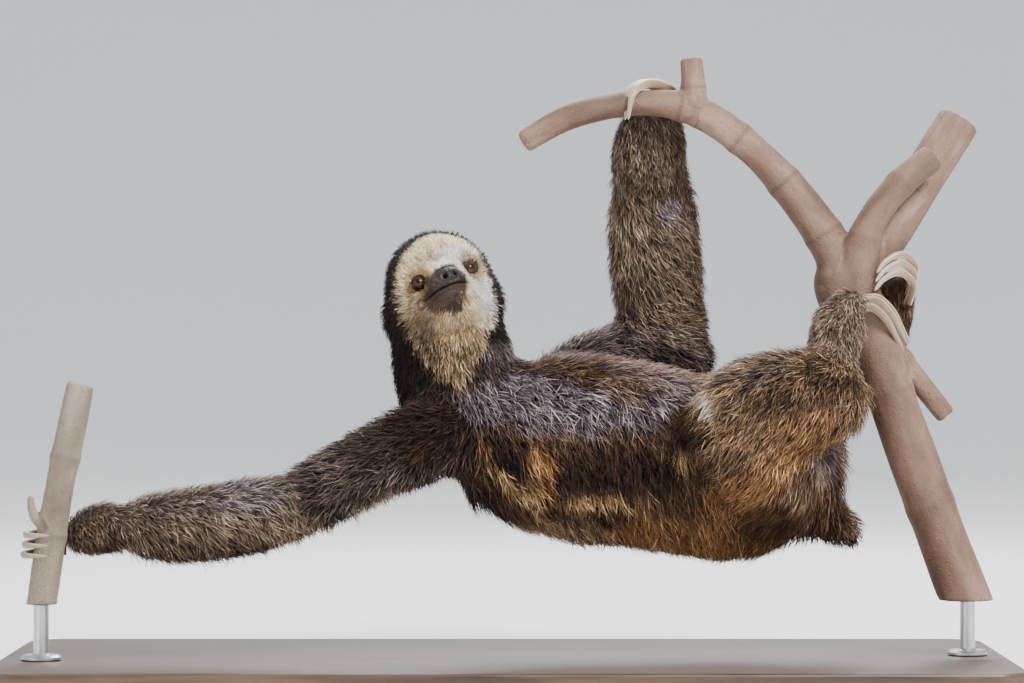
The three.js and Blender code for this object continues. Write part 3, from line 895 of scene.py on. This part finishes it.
# Tones: painted shade darkens each lock towards its root, under the coat, and it is pale at the tips, with
# some pale and some dark locks in every wisp. A lock takes its colour from the place that its middle lies
# over.
blur = 1.5 * on_head * ease(10, 15, np.minimum(*[round_eye(root_local, side)[1] for side in (1, -1)]))
shown = roots + lie * (0.5 * run)[:, None]
shown += wisp_shift * (0.1 * length * (1 - on_head) + 0.6 * blur)[:, None]
shown += draw.normal(0, 1, (lock_count, 3)) * blur[:, None]
root_colours = coat_colours(shown, root_facing, root_shares)
own_tone = draw.normal(0, 1, lock_count)
bright = np.exp(WISP_TONE * wisp_tone + OWN_TONE * own_tone)
pale_face = on_head * ease(6, 20, root_local[:, 1])
paleness = 0.50 + 0.24 * own_tone + 0.10 * wisp_tone + 0.35 * guard
paleness = np.clip(paleness + (0.66 - 0.5 * paleness) * pale_face, 0.08, 1.3)
shade_low = 0.5 + 0.06 * pale_face
lock_colours = np.empty((lock_count, 8, 3))
for first, last, s in ((0, 1, 0.0), (1, 4, RING_AT[0]), (4, 7, RING_AT[1]), (7, 8, 1.0)):
    tip_share = (s**0.8 * paleness)[:, None]
    colour = root_colours[:, 0] * (1 - tip_share) + root_colours[:, 1] * tip_share
    lit = bright * (shade_low + (1.12 - shade_low) * s)
    lock_colours[:, first:last] = (colour * lit[:, None])[:, None]
lock_colours = np.clip(lock_colours, 0.002, 0.98)

# Across and along each lock, for the strands in it, and for its own patch of the unwrap.
across_lock = np.array([0.5, *(0, 0.5, 1) * 2, 0.5])
along_lock = np.array([0.0, *[s for s in RING_AT for _ in range(3)], 1.0])

ROUND = ((1, 2), (2, 3), (3, 1))
LOCK_FACES = [(0, b, a) for a, b in ROUND]
LOCK_FACES += [(a, b, b + 3) for a, b in ROUND] + [(a, b + 3, a + 3) for a, b in ROUND]
LOCK_FACES += [(a + 3, b + 3, 7) for a, b in ROUND]
LOCK_FACES = np.array(LOCK_FACES)

coat_material, add, surface = new_material("coat_hair")
coat = add("ShaderNodeAttribute", attribute_name="coat").outputs["Color"]
strand_uv = add("ShaderNodeUVMap", uv_map="strands").outputs["UV"]
strands = add("ShaderNodeTexNoise", {"Vector": strand_uv}, Scale=5.0, Detail=2.0).outputs["Fac"]
surface(
    Base_Color=scaled(add, coat, ranged(add, strands, 0.62, 1.3, From_Min=0.3, From_Max=0.7)),
    Roughness=ranged(add, strands, 0.6, 0.85),
    Specular_IOR_Level=0.16,
    Normal=bumped(add, strands, 0.5, 0.0003),
)


def coat_piece(name, which):
    """One joined mesh of the locks whose numbers are given."""
    count = len(which)
    mesh = bpy.data.meshes.new(name)
    faces = (LOCK_FACES[None] + (np.arange(count) * 8)[:, None, None]).reshape(-1, 3)
    mesh.vertices.add(count * 8)
    mesh.vertices.foreach_set("co", (lock_points[which] * MM).astype(np.float32).ravel())
    mesh.loops.add(faces.size)
    mesh.loops.foreach_set("vertex_index", faces.ravel().astype(np.int32))
    mesh.polygons.add(len(faces))
    mesh.polygons.foreach_set("loop_start", np.arange(0, faces.size, 3, dtype=np.int32))
    write_colours(mesh, "coat", lock_colours[which].reshape(-1, 3))
    patch = np.stack([across_lock, along_lock], axis=1)
    baked = root_uv[which][:, None] + (patch - 0.5) * UV_PATCH
    strand_place = np.stack([across_lock * STRANDS_ACROSS, along_lock * STRANDS_ALONG], axis=1)[None]
    strand_place = strand_place + which[:, None, None] * STRAND_STRIDE
    for layer_name, place_of in (("OFBake", baked), ("strands", strand_place)):
        layer = mesh.uv_layers.new(name=layer_name)
        flat = place_of.reshape(-1, 2)[faces.ravel()].astype(np.float32)
        layer.uv.foreach_set("vector", flat.ravel())
    mesh.update(calc_edges=True)
    mesh.shade_smooth()
    mesh.materials.append(coat_material)
    made = new_object(name, mesh)
    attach(made, "root")


main_part = np.array(FLESH)[root_shares.argmax(1)]
fronts = root_local[:, 1] > 8
COAT_PIECES = {
    "coat_face": (main_part == "head") & fronts,
    "coat_hood": (main_part == "head") & ~fronts,
    "coat_neck": main_part == "neck",
    "coat_trunk": (main_part == "trunk") | (main_part == "tail"),
    "coat_arm_right": np.isin(main_part, ["upper_arm_right", "forearm_right", "hand_right"]),
    "coat_arm_left": np.isin(main_part, ["upper_arm_left", "forearm_left", "hand_left"]),
    "coat_leg_right": np.isin(main_part, ["thigh_right", "shin_right", "foot_right"]),
    "coat_leg_left": np.isin(main_part, ["thigh_left", "shin_left", "foot_left"]),
}
for name, where in COAT_PIECES.items():
    members = np.nonzero(where)[0]
    members = members[np.argsort(roots[members, 0])]
    pieces = max(1, math.ceil(len(members) / LOCKS_PER_PIECE))
    for number, chunk in enumerate(np.array_split(members, pieces)):
        coat_piece(name if pieces == 1 else f"{name}_{number + 1}", chunk)

# ---------------------------------------------------------------- eyes
# Glass eyes with a clear domed front, reddish brown round a small dark pupil, set in under the lids.

EYE_BULGE = 0.35
for eye_name, side in (("eye_right", 1), ("eye_left", -1)):
    ball = bmesh.new()
    bmesh.ops.create_uvsphere(ball, u_segments=48, v_segments=32, radius=EYE_RADIUS)
    gaze = Vector(unit(np.array([side * EYE_GAZE[0], EYE_GAZE[1], EYE_GAZE[2]])))
    angles = []
    for vert in ball.verts:
        off = vert.co.angle(gaze)
        angles.append(off)
        vert.co += vert.co.normalized() * EYE_BULGE * math.exp(-((off / 0.55) ** 2))
    centre = HEAD_AT + np.array([side * EYE_SIDE, EYE_FORWARD, EYE_UP]) @ HEAD_AXES
    turn = Matrix(HEAD_AXES.T.tolist()).to_4x4()
    into_place = Matrix.Translation(Vector(centre) * MM) @ turn @ Matrix.Scale(MM, 4)
    bmesh.ops.transform(ball, matrix=into_place, verts=ball.verts)
    bmesh.ops.recalc_face_normals(ball, faces=ball.faces)
    ball_mesh = mesh_of(ball, eye_name + "_glass")
    write_values(ball_mesh, "gaze", np.array(angles))
    ball_mesh.shade_smooth()
    ball_object = new_object(eye_name + "_glass", ball_mesh)
    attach(ball_object, "root")
    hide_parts(eye_name)

eye_material, add, surface = new_material("eye_glass")
gaze_angle = add("ShaderNodeAttribute", attribute_name="gaze").outputs["Fac"]
place = add("ShaderNodeTexCoord").outputs["Object"]
flecks = add("ShaderNodeTexNoise", {"Vector": place}, Scale=1400.0, Detail=3.0).outputs["Fac"]
edge = add("ShaderNodeMath", {0: gaze_angle, 1: ranged(add, flecks, -0.07, 0.07)}, operation="ADD")
iris = add("ShaderNodeValToRGB", {"Fac": edge.outputs["Value"]})
ramp(iris, [
    (0.0, (0.002, 0.001, 0.001)), (0.22, (0.003, 0.0015, 0.001)), (0.31, (0.026, 0.0075, 0.004)),
    (0.50, (0.046, 0.0135, 0.0065)), (0.60, (0.020, 0.006, 0.0035)), (0.70, (0.006, 0.003, 0.002)),
])
surface(
    Base_Color=iris.outputs["Color"], Roughness=0.6, Specular_IOR_Level=0.05,
    Coat_Weight=0.32, Coat_Roughness=0.04,
)
for eye_name in ("eye_right", "eye_left"):
    bpy.data.objects[eye_name + "_glass"].data.materials.append(eye_material)

# ---------------------------------------------------------------- claws
# Long hooked claws of horn, three to a paw: tan, with pale edges, a fine grain and a brown root.

HOOKS = {
    "right_hand": {
        "line": [(-346, -24, 119), (-367, -27, 118), (-377, -45, 117), (-371, -63, 117), (-356, -68, 117)],
        "beside": [(0, 0, 0), (-1, 0, -8), (-2, 0, -16)],
        "root": 3.6,
    },
    "left_hand": {
        "line": [(140, 23, 460), (133, 14, 470.5), (116, 1, 475.5), (102, -13.5, 466), (98, -16, 445)],
        "beside": [(0, 0, 0), (-2.3, 6.8, 0.3), (-4.6, 13.6, 0.6)],
        "root": 4.6,
    },
    "right_foot": {
        "line": [(278, -35, 295), (290, -31, 296), (302, -25, 287), (311, -16, 273), (319, -3, 260)],
        "beside": [(0, 0, 0), (3, 1, 5.6), (5.2, 7.5, 7.4)],
        "root": 3.4,
    },
    "left_foot": {
        "line": [(323, 9, 299), (326, -1, 315), (314, -15, 324), (301, -21, 318.5), (293, -26, 309)],
        "beside": [(0, 0, 0), (0.8, -0.3, 7.2), (1.6, -0.6, 14.2)],
        "root": 3.4,
    },
}
CLAW_TIP = 0.9
CLAW_IVORY = (0.47, 0.405, 0.33)
CLAW_FLATNESS = 0.72
CLAW_SIDES = 16
CLAW_STEPS = 40


def smooth_line(points, samples=24):
    """A smooth line through points with an even stride between samples, as places and lengths."""
    points = [Vector(point) for point in points]
    padded = [points[0] * 2 - points[1], *points, points[-1] * 2 - points[-2]]
    line = []
    for before, start, end, after in zip(padded, padded[1:], padded[2:], padded[3:]):
        knots = [0.0]
        for a, b in ((before, start), (start, end), (end, after)):
            knots.append(knots[-1] + max((b - a).length, 1e-6) ** 0.5)
        t0, t1, t2, t3 = knots
        for step in range(samples):
            t = t1 + (t2 - t1) * step / samples
            a1 = before * ((t1 - t) / (t1 - t0)) + start * ((t - t0) / (t1 - t0))
            a2 = start * ((t2 - t) / (t2 - t1)) + end * ((t - t1) / (t2 - t1))
            a3 = end * ((t3 - t) / (t3 - t2)) + after * ((t - t2) / (t3 - t2))
            b1 = a1 * ((t2 - t) / (t2 - t0)) + a2 * ((t - t0) / (t2 - t0))
            b2 = a2 * ((t3 - t) / (t3 - t1)) + a3 * ((t - t1) / (t3 - t1))
            line.append(b1 * ((t2 - t) / (t2 - t1)) + b2 * ((t - t1) / (t2 - t1)))
    line.append(points[-1])
    line = np.array(line)
    strides = np.linalg.norm(np.diff(line, axis=0), axis=1)
    return line, np.concatenate([[0], np.cumsum(strides)])


def bent_rod(points, radii, sides, steps, flatness=1.0, round_end=0.0):
    """A closed rod along a smooth line. Its radius runs through radii, spaced as the points are."""
    line, lengths = smooth_line(points)
    spacing = np.linspace(0, len(line) - 1, len(points)).round().astype(int)
    rod = bmesh.new()
    bmesh.ops.create_cone(rod, cap_ends=True, segments=sides, radius1=1, radius2=1, depth=1)
    uprights = [edge for edge in rod.edges if abs(edge.verts[0].co.z - edge.verts[1].co.z) > 0.5]
    bmesh.ops.subdivide_edges(rod, edges=uprights, cuts=steps)
    along_layer = rod.verts.layers.float.new("along")
    rim_layer = rod.verts.layers.float.new("rim")
    total = lengths[-1]
    for vert in rod.verts:
        along = (vert.co.z + 0.5) * total
        middle = np.array([np.interp(along, lengths, line[:, axis]) for axis in range(3)])
        ahead = np.array([np.interp(along + 0.01 * total, lengths, line[:, axis]) for axis in range(3)])
        behind = np.array([np.interp(along - 0.01 * total, lengths, line[:, axis]) for axis in range(3)])
        heading = unit(ahead - behind)
        deep = unit(np.array([0, 1, 0]) - heading * heading[1])
        tall = np.cross(deep, heading)
        radius = np.interp(along, lengths[spacing], radii)
        if round_end:
            radius *= math.sqrt(max(0.0, 1 - max(0.0, 1 - (total - along) / round_end) ** 2)) + 0.02
        vert[along_layer] = along
        vert[rim_layer] = abs(vert.co.x)
        vert.co = Vector(middle + tall * vert.co.x * radius + deep * vert.co.y * radius * flatness)
    bmesh.ops.recalc_face_normals(rod, faces=rod.faces)
    return rod


claw_material, add, surface = new_material("claw_horn")
along = add("ShaderNodeAttribute", attribute_name="along").outputs["Fac"]
place = add("ShaderNodeTexCoord").outputs["Object"]
body = add("ShaderNodeValToRGB", {"Fac": along})
ramp(body, [
    (0.0, (0.070, 0.036, 0.019)), (0.18, (0.15, 0.085, 0.047)), (0.40, (0.23, 0.145, 0.083)),
    (0.75, (0.29, 0.205, 0.135)), (1.0, (0.30, 0.22, 0.15)),
])
grain = add("ShaderNodeTexNoise", {"Vector": place}, Scale=700.0, Detail=4.0).outputs["Fac"]
rim = add("ShaderNodeAttribute", attribute_name="rim").outputs["Fac"]
ivory = ranged(add, rim, 0.0, 0.85, From_Min=0.55, From_Max=0.95)
edged = mixed(add, ivory, body.outputs["Color"], (*CLAW_IVORY, 1))
surface(
    Base_Color=scaled(add, edged, ranged(add, grain, 0.6, 1.3)),
    Roughness=ranged(add, grain, 0.25, 0.5),
    Normal=bumped(add, grain, 0.25, 0.0002),
)

for paw, hook in HOOKS.items():
    last = len(hook["line"]) - 1
    radii = [hook["root"] + (CLAW_TIP - hook["root"]) * (i / last) ** 2.2 for i in range(last + 1)]
    for number, offset in enumerate(hook["beside"]):
        points = [Vector(point) + Vector(offset) for point in hook["line"]]
        claw = bent_rod(points, radii, CLAW_SIDES, CLAW_STEPS, CLAW_FLATNESS, round_end=4.0)
        bmesh.ops.transform(claw, matrix=Matrix.Scale(MM, 4), verts=claw.verts)
        claw_name = f"claw_{paw}_{number + 1}"
        claw_mesh = mesh_of(claw, claw_name + "_horn")
        lengths = np.empty(len(claw_mesh.vertices), np.float32)
        claw_mesh.attributes["along"].data.foreach_get("value", lengths)
        claw_mesh.attributes["along"].data.foreach_set("value", lengths / lengths.max())
        claw_mesh.shade_smooth()
        claw_mesh.materials.append(claw_material)
        claw_object = new_object(claw_name + "_horn", claw_mesh)
        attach(claw_object, "root")
        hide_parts(claw_name)

# ---------------------------------------------------------------- perch branch
# A forked limb of a smooth-barked tree, pinkish tan, with pale pores, old ring scars where leaves
# sat and a swollen crotch. Its limbs grow out of one another, and their ends are sawn.

SAWN_LEVEL = 62
BRANCH = {  # each limb's points with its radius there
    "fork": [
        ((376, 0, 44), 20.5), ((340, 0, 138), 20), ((310, 0, 222), 19.5), ((293, 1, 276), 20),
        ((273, 3, 316), 26), ((302, 13, 352), 20), ((338, 28, 402), 18), ((368, 40, 448), 17),
    ],
    "arch": [
        ((284, 2, 296), 20), ((254, 0, 356), 15.5), ((201, 0, 420), 13), ((150, 0, 454), 12.5),
        ((108, 0, 459.5), 10.5), ((52, 0, 449), 10), ((14, 0, 428), 9.5),
    ],
    "side_shoot": [((153, 0, 452), 12), ((151, 0, 470), 10), ((149.5, 0, 496), 9)],
    "thin_limb": [((280, -8, 314), 15), ((288, -18, 358), 12), ((314, -14, 394), 12), ((342, -7, 416), 11)],
    "low_twig": [((298, 8, 286), 10), ((324, 18, 248), 9), ((356, 27, 209), 8)],
}
STEM = {
    "stem": [
        ((-334, -48, 236), 11), ((-348, -48, 168), 11.7), ((-356, -48, 120), 11.7), ((-366, -48, 54), 12.2),
    ],
    "stub": [((-358, -48, 122), 5), ((-370, -48, 130), 4.6), ((-374, -49, 148), 3.2)],
}
WOOD_VOXEL = 1.9 * MM


def grown_wood(name, limbs, swellings):
    """Limbs grown into one piece, cut level below, with a frame of its own along the grain."""
    wood = bmesh.new()
    for stations in limbs.values():
        points, radii = zip(*stations)
        steps = int(sum((Vector(b) - Vector(a)).length for a, b in zip(points, points[1:])) / 4)
        rod = bent_rod(points, radii, 28, steps)
        rod_mesh = mesh_of(rod, "rod")
        wood.from_mesh(rod_mesh)
        bpy.data.meshes.remove(rod_mesh)
    cut = bmesh.ops.bisect_plane(
        wood, geom=[*wood.verts, *wood.edges, *wood.faces], plane_co=(0, 0, SAWN_LEVEL),
        plane_no=(0, 0, 1), clear_inner=True,
    )
    rim = [item for item in cut["geom_cut"] if isinstance(item, bmesh.types.BMEdge)]
    bmesh.ops.contextual_create(wood, geom=rim)
    bmesh.ops.transform(wood, matrix=Matrix.Scale(MM, 4), verts=wood.verts)
    wood_mesh = mesh_of(wood, "wood")
    skin = remeshed("wood", wood_mesh, WOOD_VOXEL)
    grown = bmesh.new()
    grown.from_mesh(skin)
    for _ in range(6):
        soft = [vert for vert in grown.verts if vert.co.z > (SAWN_LEVEL + 3) * MM]
        smooth(grown, soft)
    grown.to_mesh(skin)
    grown.free()

    lines = [smooth_line([point for point, _ in stations]) for stations in limbs.values()]
    samples = np.concatenate([line for line, _ in lines])
    lengths = np.concatenate([length + 1000 * i for i, (_, length) in enumerate(lines)])
    headings = np.concatenate([unit(np.gradient(line, axis=0)) for line, _ in lines])
    tree = KDTree(len(samples))
    for index, sample in enumerate(samples):
        tree.insert(sample, index)
    tree.balance()
    points = places(skin)
    nearest = np.array([tree.find(point)[1] for point in points])
    off = points - samples[nearest]
    heading = headings[nearest]
    ahead = (off * heading).sum(1)
    along = lengths[nearest] + ahead
    deep = unit(np.array([0, 1.0, 0]) - heading * heading[:, 1:2])
    tall = np.cross(deep, heading)
    grain = np.stack([(off * tall).sum(1), (off * deep).sum(1), along], axis=1)
    outward = normals_of(skin)
    lump = np.zeros(len(points))
    scars = np.zeros(len(points))
    for limb, at, size, scar in swellings:
        start = 1000 * list(limbs).index(limb)
        ring = np.exp(-(((along - start - at) / size) ** 2))
        lump += 0.9 * ring
        scars = np.maximum(scars, scar * np.exp(-(((along - start - at) / (0.32 * size)) ** 2)))
    keep = ease(SAWN_LEVEL + 1, SAWN_LEVEL + 6, points[:, 2])
    angle = np.arctan2(grain[:, 1], grain[:, 0])
    waver = 0.35 * np.sin(2 * angle + along / 17) + 0.3 * np.sin(3 * angle - along / 29)
    put(skin, points + outward * ((lump + waver) * keep)[:, None])
    grain_attribute = skin.attributes.new("grain", "FLOAT_VECTOR", "POINT")
    grain_attribute.data.foreach_set("vector", (grain * MM).astype(np.float32).ravel())
    write_values(skin, "scar", scars)
    skin.shade_smooth()
    return new_object(name, skin)


def bark_material(name, stops, pore_colour, scar_colour, pore_scale):
    """Smooth bark: blotches drawn out along the limb, pores, fine specks and darker scars."""
    material, add, surface = new_material(name)
    grain = add("ShaderNodeAttribute", attribute_name="grain").outputs["Vector"]
    place = add("ShaderNodeTexCoord").outputs["Object"]
    drawn = add("ShaderNodeMapping", {"Vector": grain}, Scale=(1, 1, 0.35)).outputs["Vector"]
    blotches = add("ShaderNodeTexNoise", {"Vector": drawn}, Scale=38.0, Detail=6.0, Roughness=0.6)
    blotch = blotches.outputs["Fac"]
    colour = add("ShaderNodeValToRGB", {"Fac": blotch})
    ramp(colour, stops)
    fine = add("ShaderNodeTexNoise", {"Vector": place}, Scale=620.0, Detail=4.0).outputs["Fac"]
    shaded = scaled(add, colour.outputs["Color"], ranged(add, fine, 0.80, 1.20))
    pores = add("ShaderNodeTexVoronoi", {"Vector": place}, Scale=pore_scale).outputs["Distance"]
    pore = ranged(add, pores, 0.55, 0.0, From_Min=0.10, From_Max=0.22)
    scar = add("ShaderNodeAttribute", attribute_name="scar").outputs["Fac"]
    dotted = mixed(add, pore, shaded, (*pore_colour, 1))
    relief = add("ShaderNodeMath", {0: fine, 1: pore}, operation="ADD").outputs["Value"]
    surface(
        Base_Color=mixed(add, scar, dotted, (*scar_colour, 1)),
        Roughness=ranged(add, blotch, 0.55, 0.85),
        Normal=bumped(add, relief, 0.8, 0.0008),
    )
    return material


BRANCH_RINGS = [  # limb, distance along it, size, how dark the scar is
    ("fork", 100, 7, 0.2), ("fork", 196, 6, 0.25), ("fork", 262, 7, 0.3), ("fork", 276, 60, 0.4),
    ("arch", 66, 6, 0.4), ("arch", 22, 60, 0.4), ("thin_limb", 8, 50, 0.4),
    ("arch", 118, 6, 0.5), ("arch", 168, 6, 0.5), ("arch", 222, 5, 0.6), ("arch", 268, 5, 0.35),
    ("thin_limb", 40, 6, 0.3), ("thin_limb", 92, 5, 0.3), ("low_twig", 40, 4, 0.3),
    ("side_shoot", 20, 5, 0.4),
]
branch_object = grown_wood("perch_branch_bark", BRANCH, BRANCH_RINGS)
branch_object.data.materials.append(bark_material(
    "branch_bark",
    [
        (0.28, (0.052, 0.024, 0.014)), (0.42, (0.100, 0.052, 0.032)), (0.55, (0.155, 0.087, 0.059)),
        (0.72, (0.26, 0.167, 0.124)),
    ],
    (0.10, 0.058, 0.040), (0.030, 0.013, 0.008), 210.0,
))
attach(branch_object, "root")
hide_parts("perch_branch")

# ---------------------------------------------------------------- perch stem
# A straight upright stem with paler, corky bark and the stub of a broken twig, which the stretched
# hand hooks round. It is sawn level at its foot, like the branch.

stem_object = grown_wood("perch_stem_bark", STEM, [("stem", 60, 6, 0.3), ("stem", 122, 5, 0.35)])
stem_object.data.materials.append(bark_material(
    "stem_bark",
    [(0.28, (0.095, 0.070, 0.046)), (0.5, (0.190, 0.150, 0.108)), (0.72, (0.30, 0.25, 0.195))],
    (0.12, 0.082, 0.052), (0.055, 0.033, 0.019), 260.0,
))
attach(stem_object, "root")
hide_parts("perch_stem")

# ---------------------------------------------------------------- display stand
# A dark stained board with rounded corners and an eased edge, and two brushed steel rods on round
# feet, screwed up into the sawn ends of the perch.

BASE = {"length": 800, "width": 340, "thick": 18, "corner": 30, "edge": 3}
RODS = {"stand_rod_right": (370, 0), "stand_rod_left": (-365, -48)}
ROD = {"radius": 6, "foot": 16, "foot_thick": 4, "from": 18.5, "to": 61.5}


def rounded(work, edges, offset, segments):
    bmesh.ops.bevel(
        work, geom=edges, offset=offset * MM, offset_type="OFFSET", segments=segments, profile=0.5,
        affect="EDGES", material=-1,
    )


def lathed(profile, steps, weld):
    """A surface turned about Z from its radii and heights in metres."""
    work = bmesh.new()
    ring = [work.verts.new((radius, 0, height)) for radius, height in profile]
    edges = [work.edges.new(pair) for pair in zip(ring, ring[1:])]
    bmesh.ops.spin(
        work, geom=[*ring, *edges], axis=(0, 0, 1), cent=(0, 0, 0), steps=steps, angle=math.tau,
        use_merge=True,
    )
    bmesh.ops.remove_doubles(work, verts=work.verts, dist=weld)
    bmesh.ops.recalc_face_normals(work, faces=work.faces)
    return work


base = bmesh.new()
bmesh.ops.create_cube(base, size=1)
bmesh.ops.scale(base, vec=(BASE["length"] * MM, BASE["width"] * MM, BASE["thick"] * MM), verts=base.verts)
bmesh.ops.translate(base, vec=(0, 0, BASE["thick"] * MM / 2), verts=base.verts)
posts = [edge for edge in base.edges if abs(edge.verts[0].co.z - edge.verts[1].co.z) > MM]
rounded(base, posts, BASE["corner"], 12)
rims = [edge for edge in base.edges if abs(edge.verts[0].co.z - edge.verts[1].co.z) < 0.01 * MM]
rims = [edge for edge in rims if len({round(face.normal.z) for face in edge.link_faces}) > 1]
rounded(base, rims, BASE["edge"], 4)
base_mesh = mesh_of(base, "stand_base_board")
base_object = new_object("stand_base_board", base_mesh)

board_material, add, surface = new_material("stained_board")
place = add("ShaderNodeTexCoord").outputs["Object"]
grain = add("ShaderNodeMapping", {"Vector": place}, Scale=(1.2, 16, 16)).outputs["Vector"]
figures = add("ShaderNodeTexNoise", {"Vector": grain}, Scale=7.0, Detail=7.0, Distortion=0.5)
figure = figures.outputs["Fac"]
colour = add("ShaderNodeValToRGB", {"Fac": figure})
ramp(colour, [(0.3, (0.022, 0.011, 0.006)), (0.5, (0.055, 0.028, 0.015)), (0.7, (0.10, 0.055, 0.03))])
surface(
    Base_Color=colour.outputs["Color"],
    Roughness=ranged(add, figure, 0.3, 0.5),
    Normal=bumped(add, figure, 0.15, 0.0005),
)
base_mesh.materials.append(board_material)
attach(base_object, "root")
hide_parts("stand_base")

steel_material, add, surface = new_material("brushed_steel")
place = add("ShaderNodeTexCoord").outputs["Object"]
turned_lines = add("ShaderNodeMapping", {"Vector": place}, Scale=(30, 30, 1800)).outputs["Vector"]
brush = add("ShaderNodeTexNoise", {"Vector": turned_lines}, Scale=1.0, Detail=3.0).outputs["Fac"]
surface(Base_Color=ranged(add, brush, 0.42, 0.62), Roughness=ranged(add, brush, 0.25, 0.42), Metallic=1.0)

foot_top = ROD["from"] + ROD["foot_thick"]
rod_profile = [
    (0, ROD["from"]), (ROD["foot"] - 0.6, ROD["from"]), (ROD["foot"], ROD["from"] + 0.6),
    (ROD["foot"], ROD["from"] + 2.4), (ROD["foot"] - 2, foot_top), (ROD["radius"] + 1.2, foot_top),
    (ROD["radius"], foot_top + 1.2), (ROD["radius"], ROD["to"]), (0, ROD["to"]),
]
for node, (at_x, at_y) in RODS.items():
    rod = lathed([(radius * MM, height * MM) for radius, height in rod_profile], 48, 0.001 * MM)
    bmesh.ops.translate(rod, vec=(at_x * MM, at_y * MM, 0), verts=rod.verts)
    rod_mesh = mesh_of(rod, node + "_steel")
    rod_mesh.materials.append(steel_material)
    rod_object = new_object(node + "_steel", rod_mesh)
    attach(rod_object, "root")
    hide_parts(node)

# ---------------------------------------------------------------- floor and light
# A plain pale studio floor that curves up far away, a large soft key from the upper right in
# front, a fill from the left and a soft rim from above and behind.

FLOOR_FLAT = 2.6
FLOOR_RISE = 6.0
LIGHTS = [  # place, size, power
    ((1.3, -1.8, 2.2), 1.1, 210),
    ((-2.0, -1.9, 0.9), 1.8, 30),
    ((0.2, 1.7, 1.9), 1.5, 80),
]

floor_profile = [(0, 0), (FLOOR_FLAT, 0)]
for step in range(1, 13):
    angle = step / 12 * math.pi / 2
    floor_profile.append((FLOOR_FLAT + FLOOR_RISE * math.sin(angle), FLOOR_RISE * (1 - math.cos(angle))))
floor_mesh = mesh_of(lathed(floor_profile, 96, MM), "studio_floor")
floor_mesh.shade_smooth()
floor_object = new_object("studio_floor", floor_mesh)
floor_material, add, surface = new_material("pale_floor")
place = add("ShaderNodeTexCoord").outputs["Object"]
cloud = add("ShaderNodeTexNoise", {"Vector": place}, Scale=0.8, Detail=2.0).outputs["Fac"]
surface(Base_Color=ranged(add, cloud, 0.76, 0.80), Roughness=0.9)
floor_mesh.materials.append(floor_material)

for number, (at, size, power) in enumerate(LIGHTS):
    light_data = bpy.data.lights.new(f"studio_light_{number + 1}", "AREA")
    light_data.shape = "DISK"
    light_data.size = size
    light_data.energy = power
    light = bpy.data.objects.new(f"studio_light_{number + 1}", light_data)
    light.location = at
    light.rotation_euler = (Vector((0, 0, 0.26)) - Vector(at)).to_track_quat("-Z", "Y").to_euler()
    bpy.context.scene.collection.objects.link(light)

world = bpy.data.worlds.new("studio")
world.use_nodes = True
background = next(node for node in world.node_tree.nodes if node.type == "BACKGROUND")
background.inputs["Color"].default_value = (0.93, 0.96, 1.0, 1)
background.inputs["Strength"].default_value = 0.95
bpy.context.scene.world = world
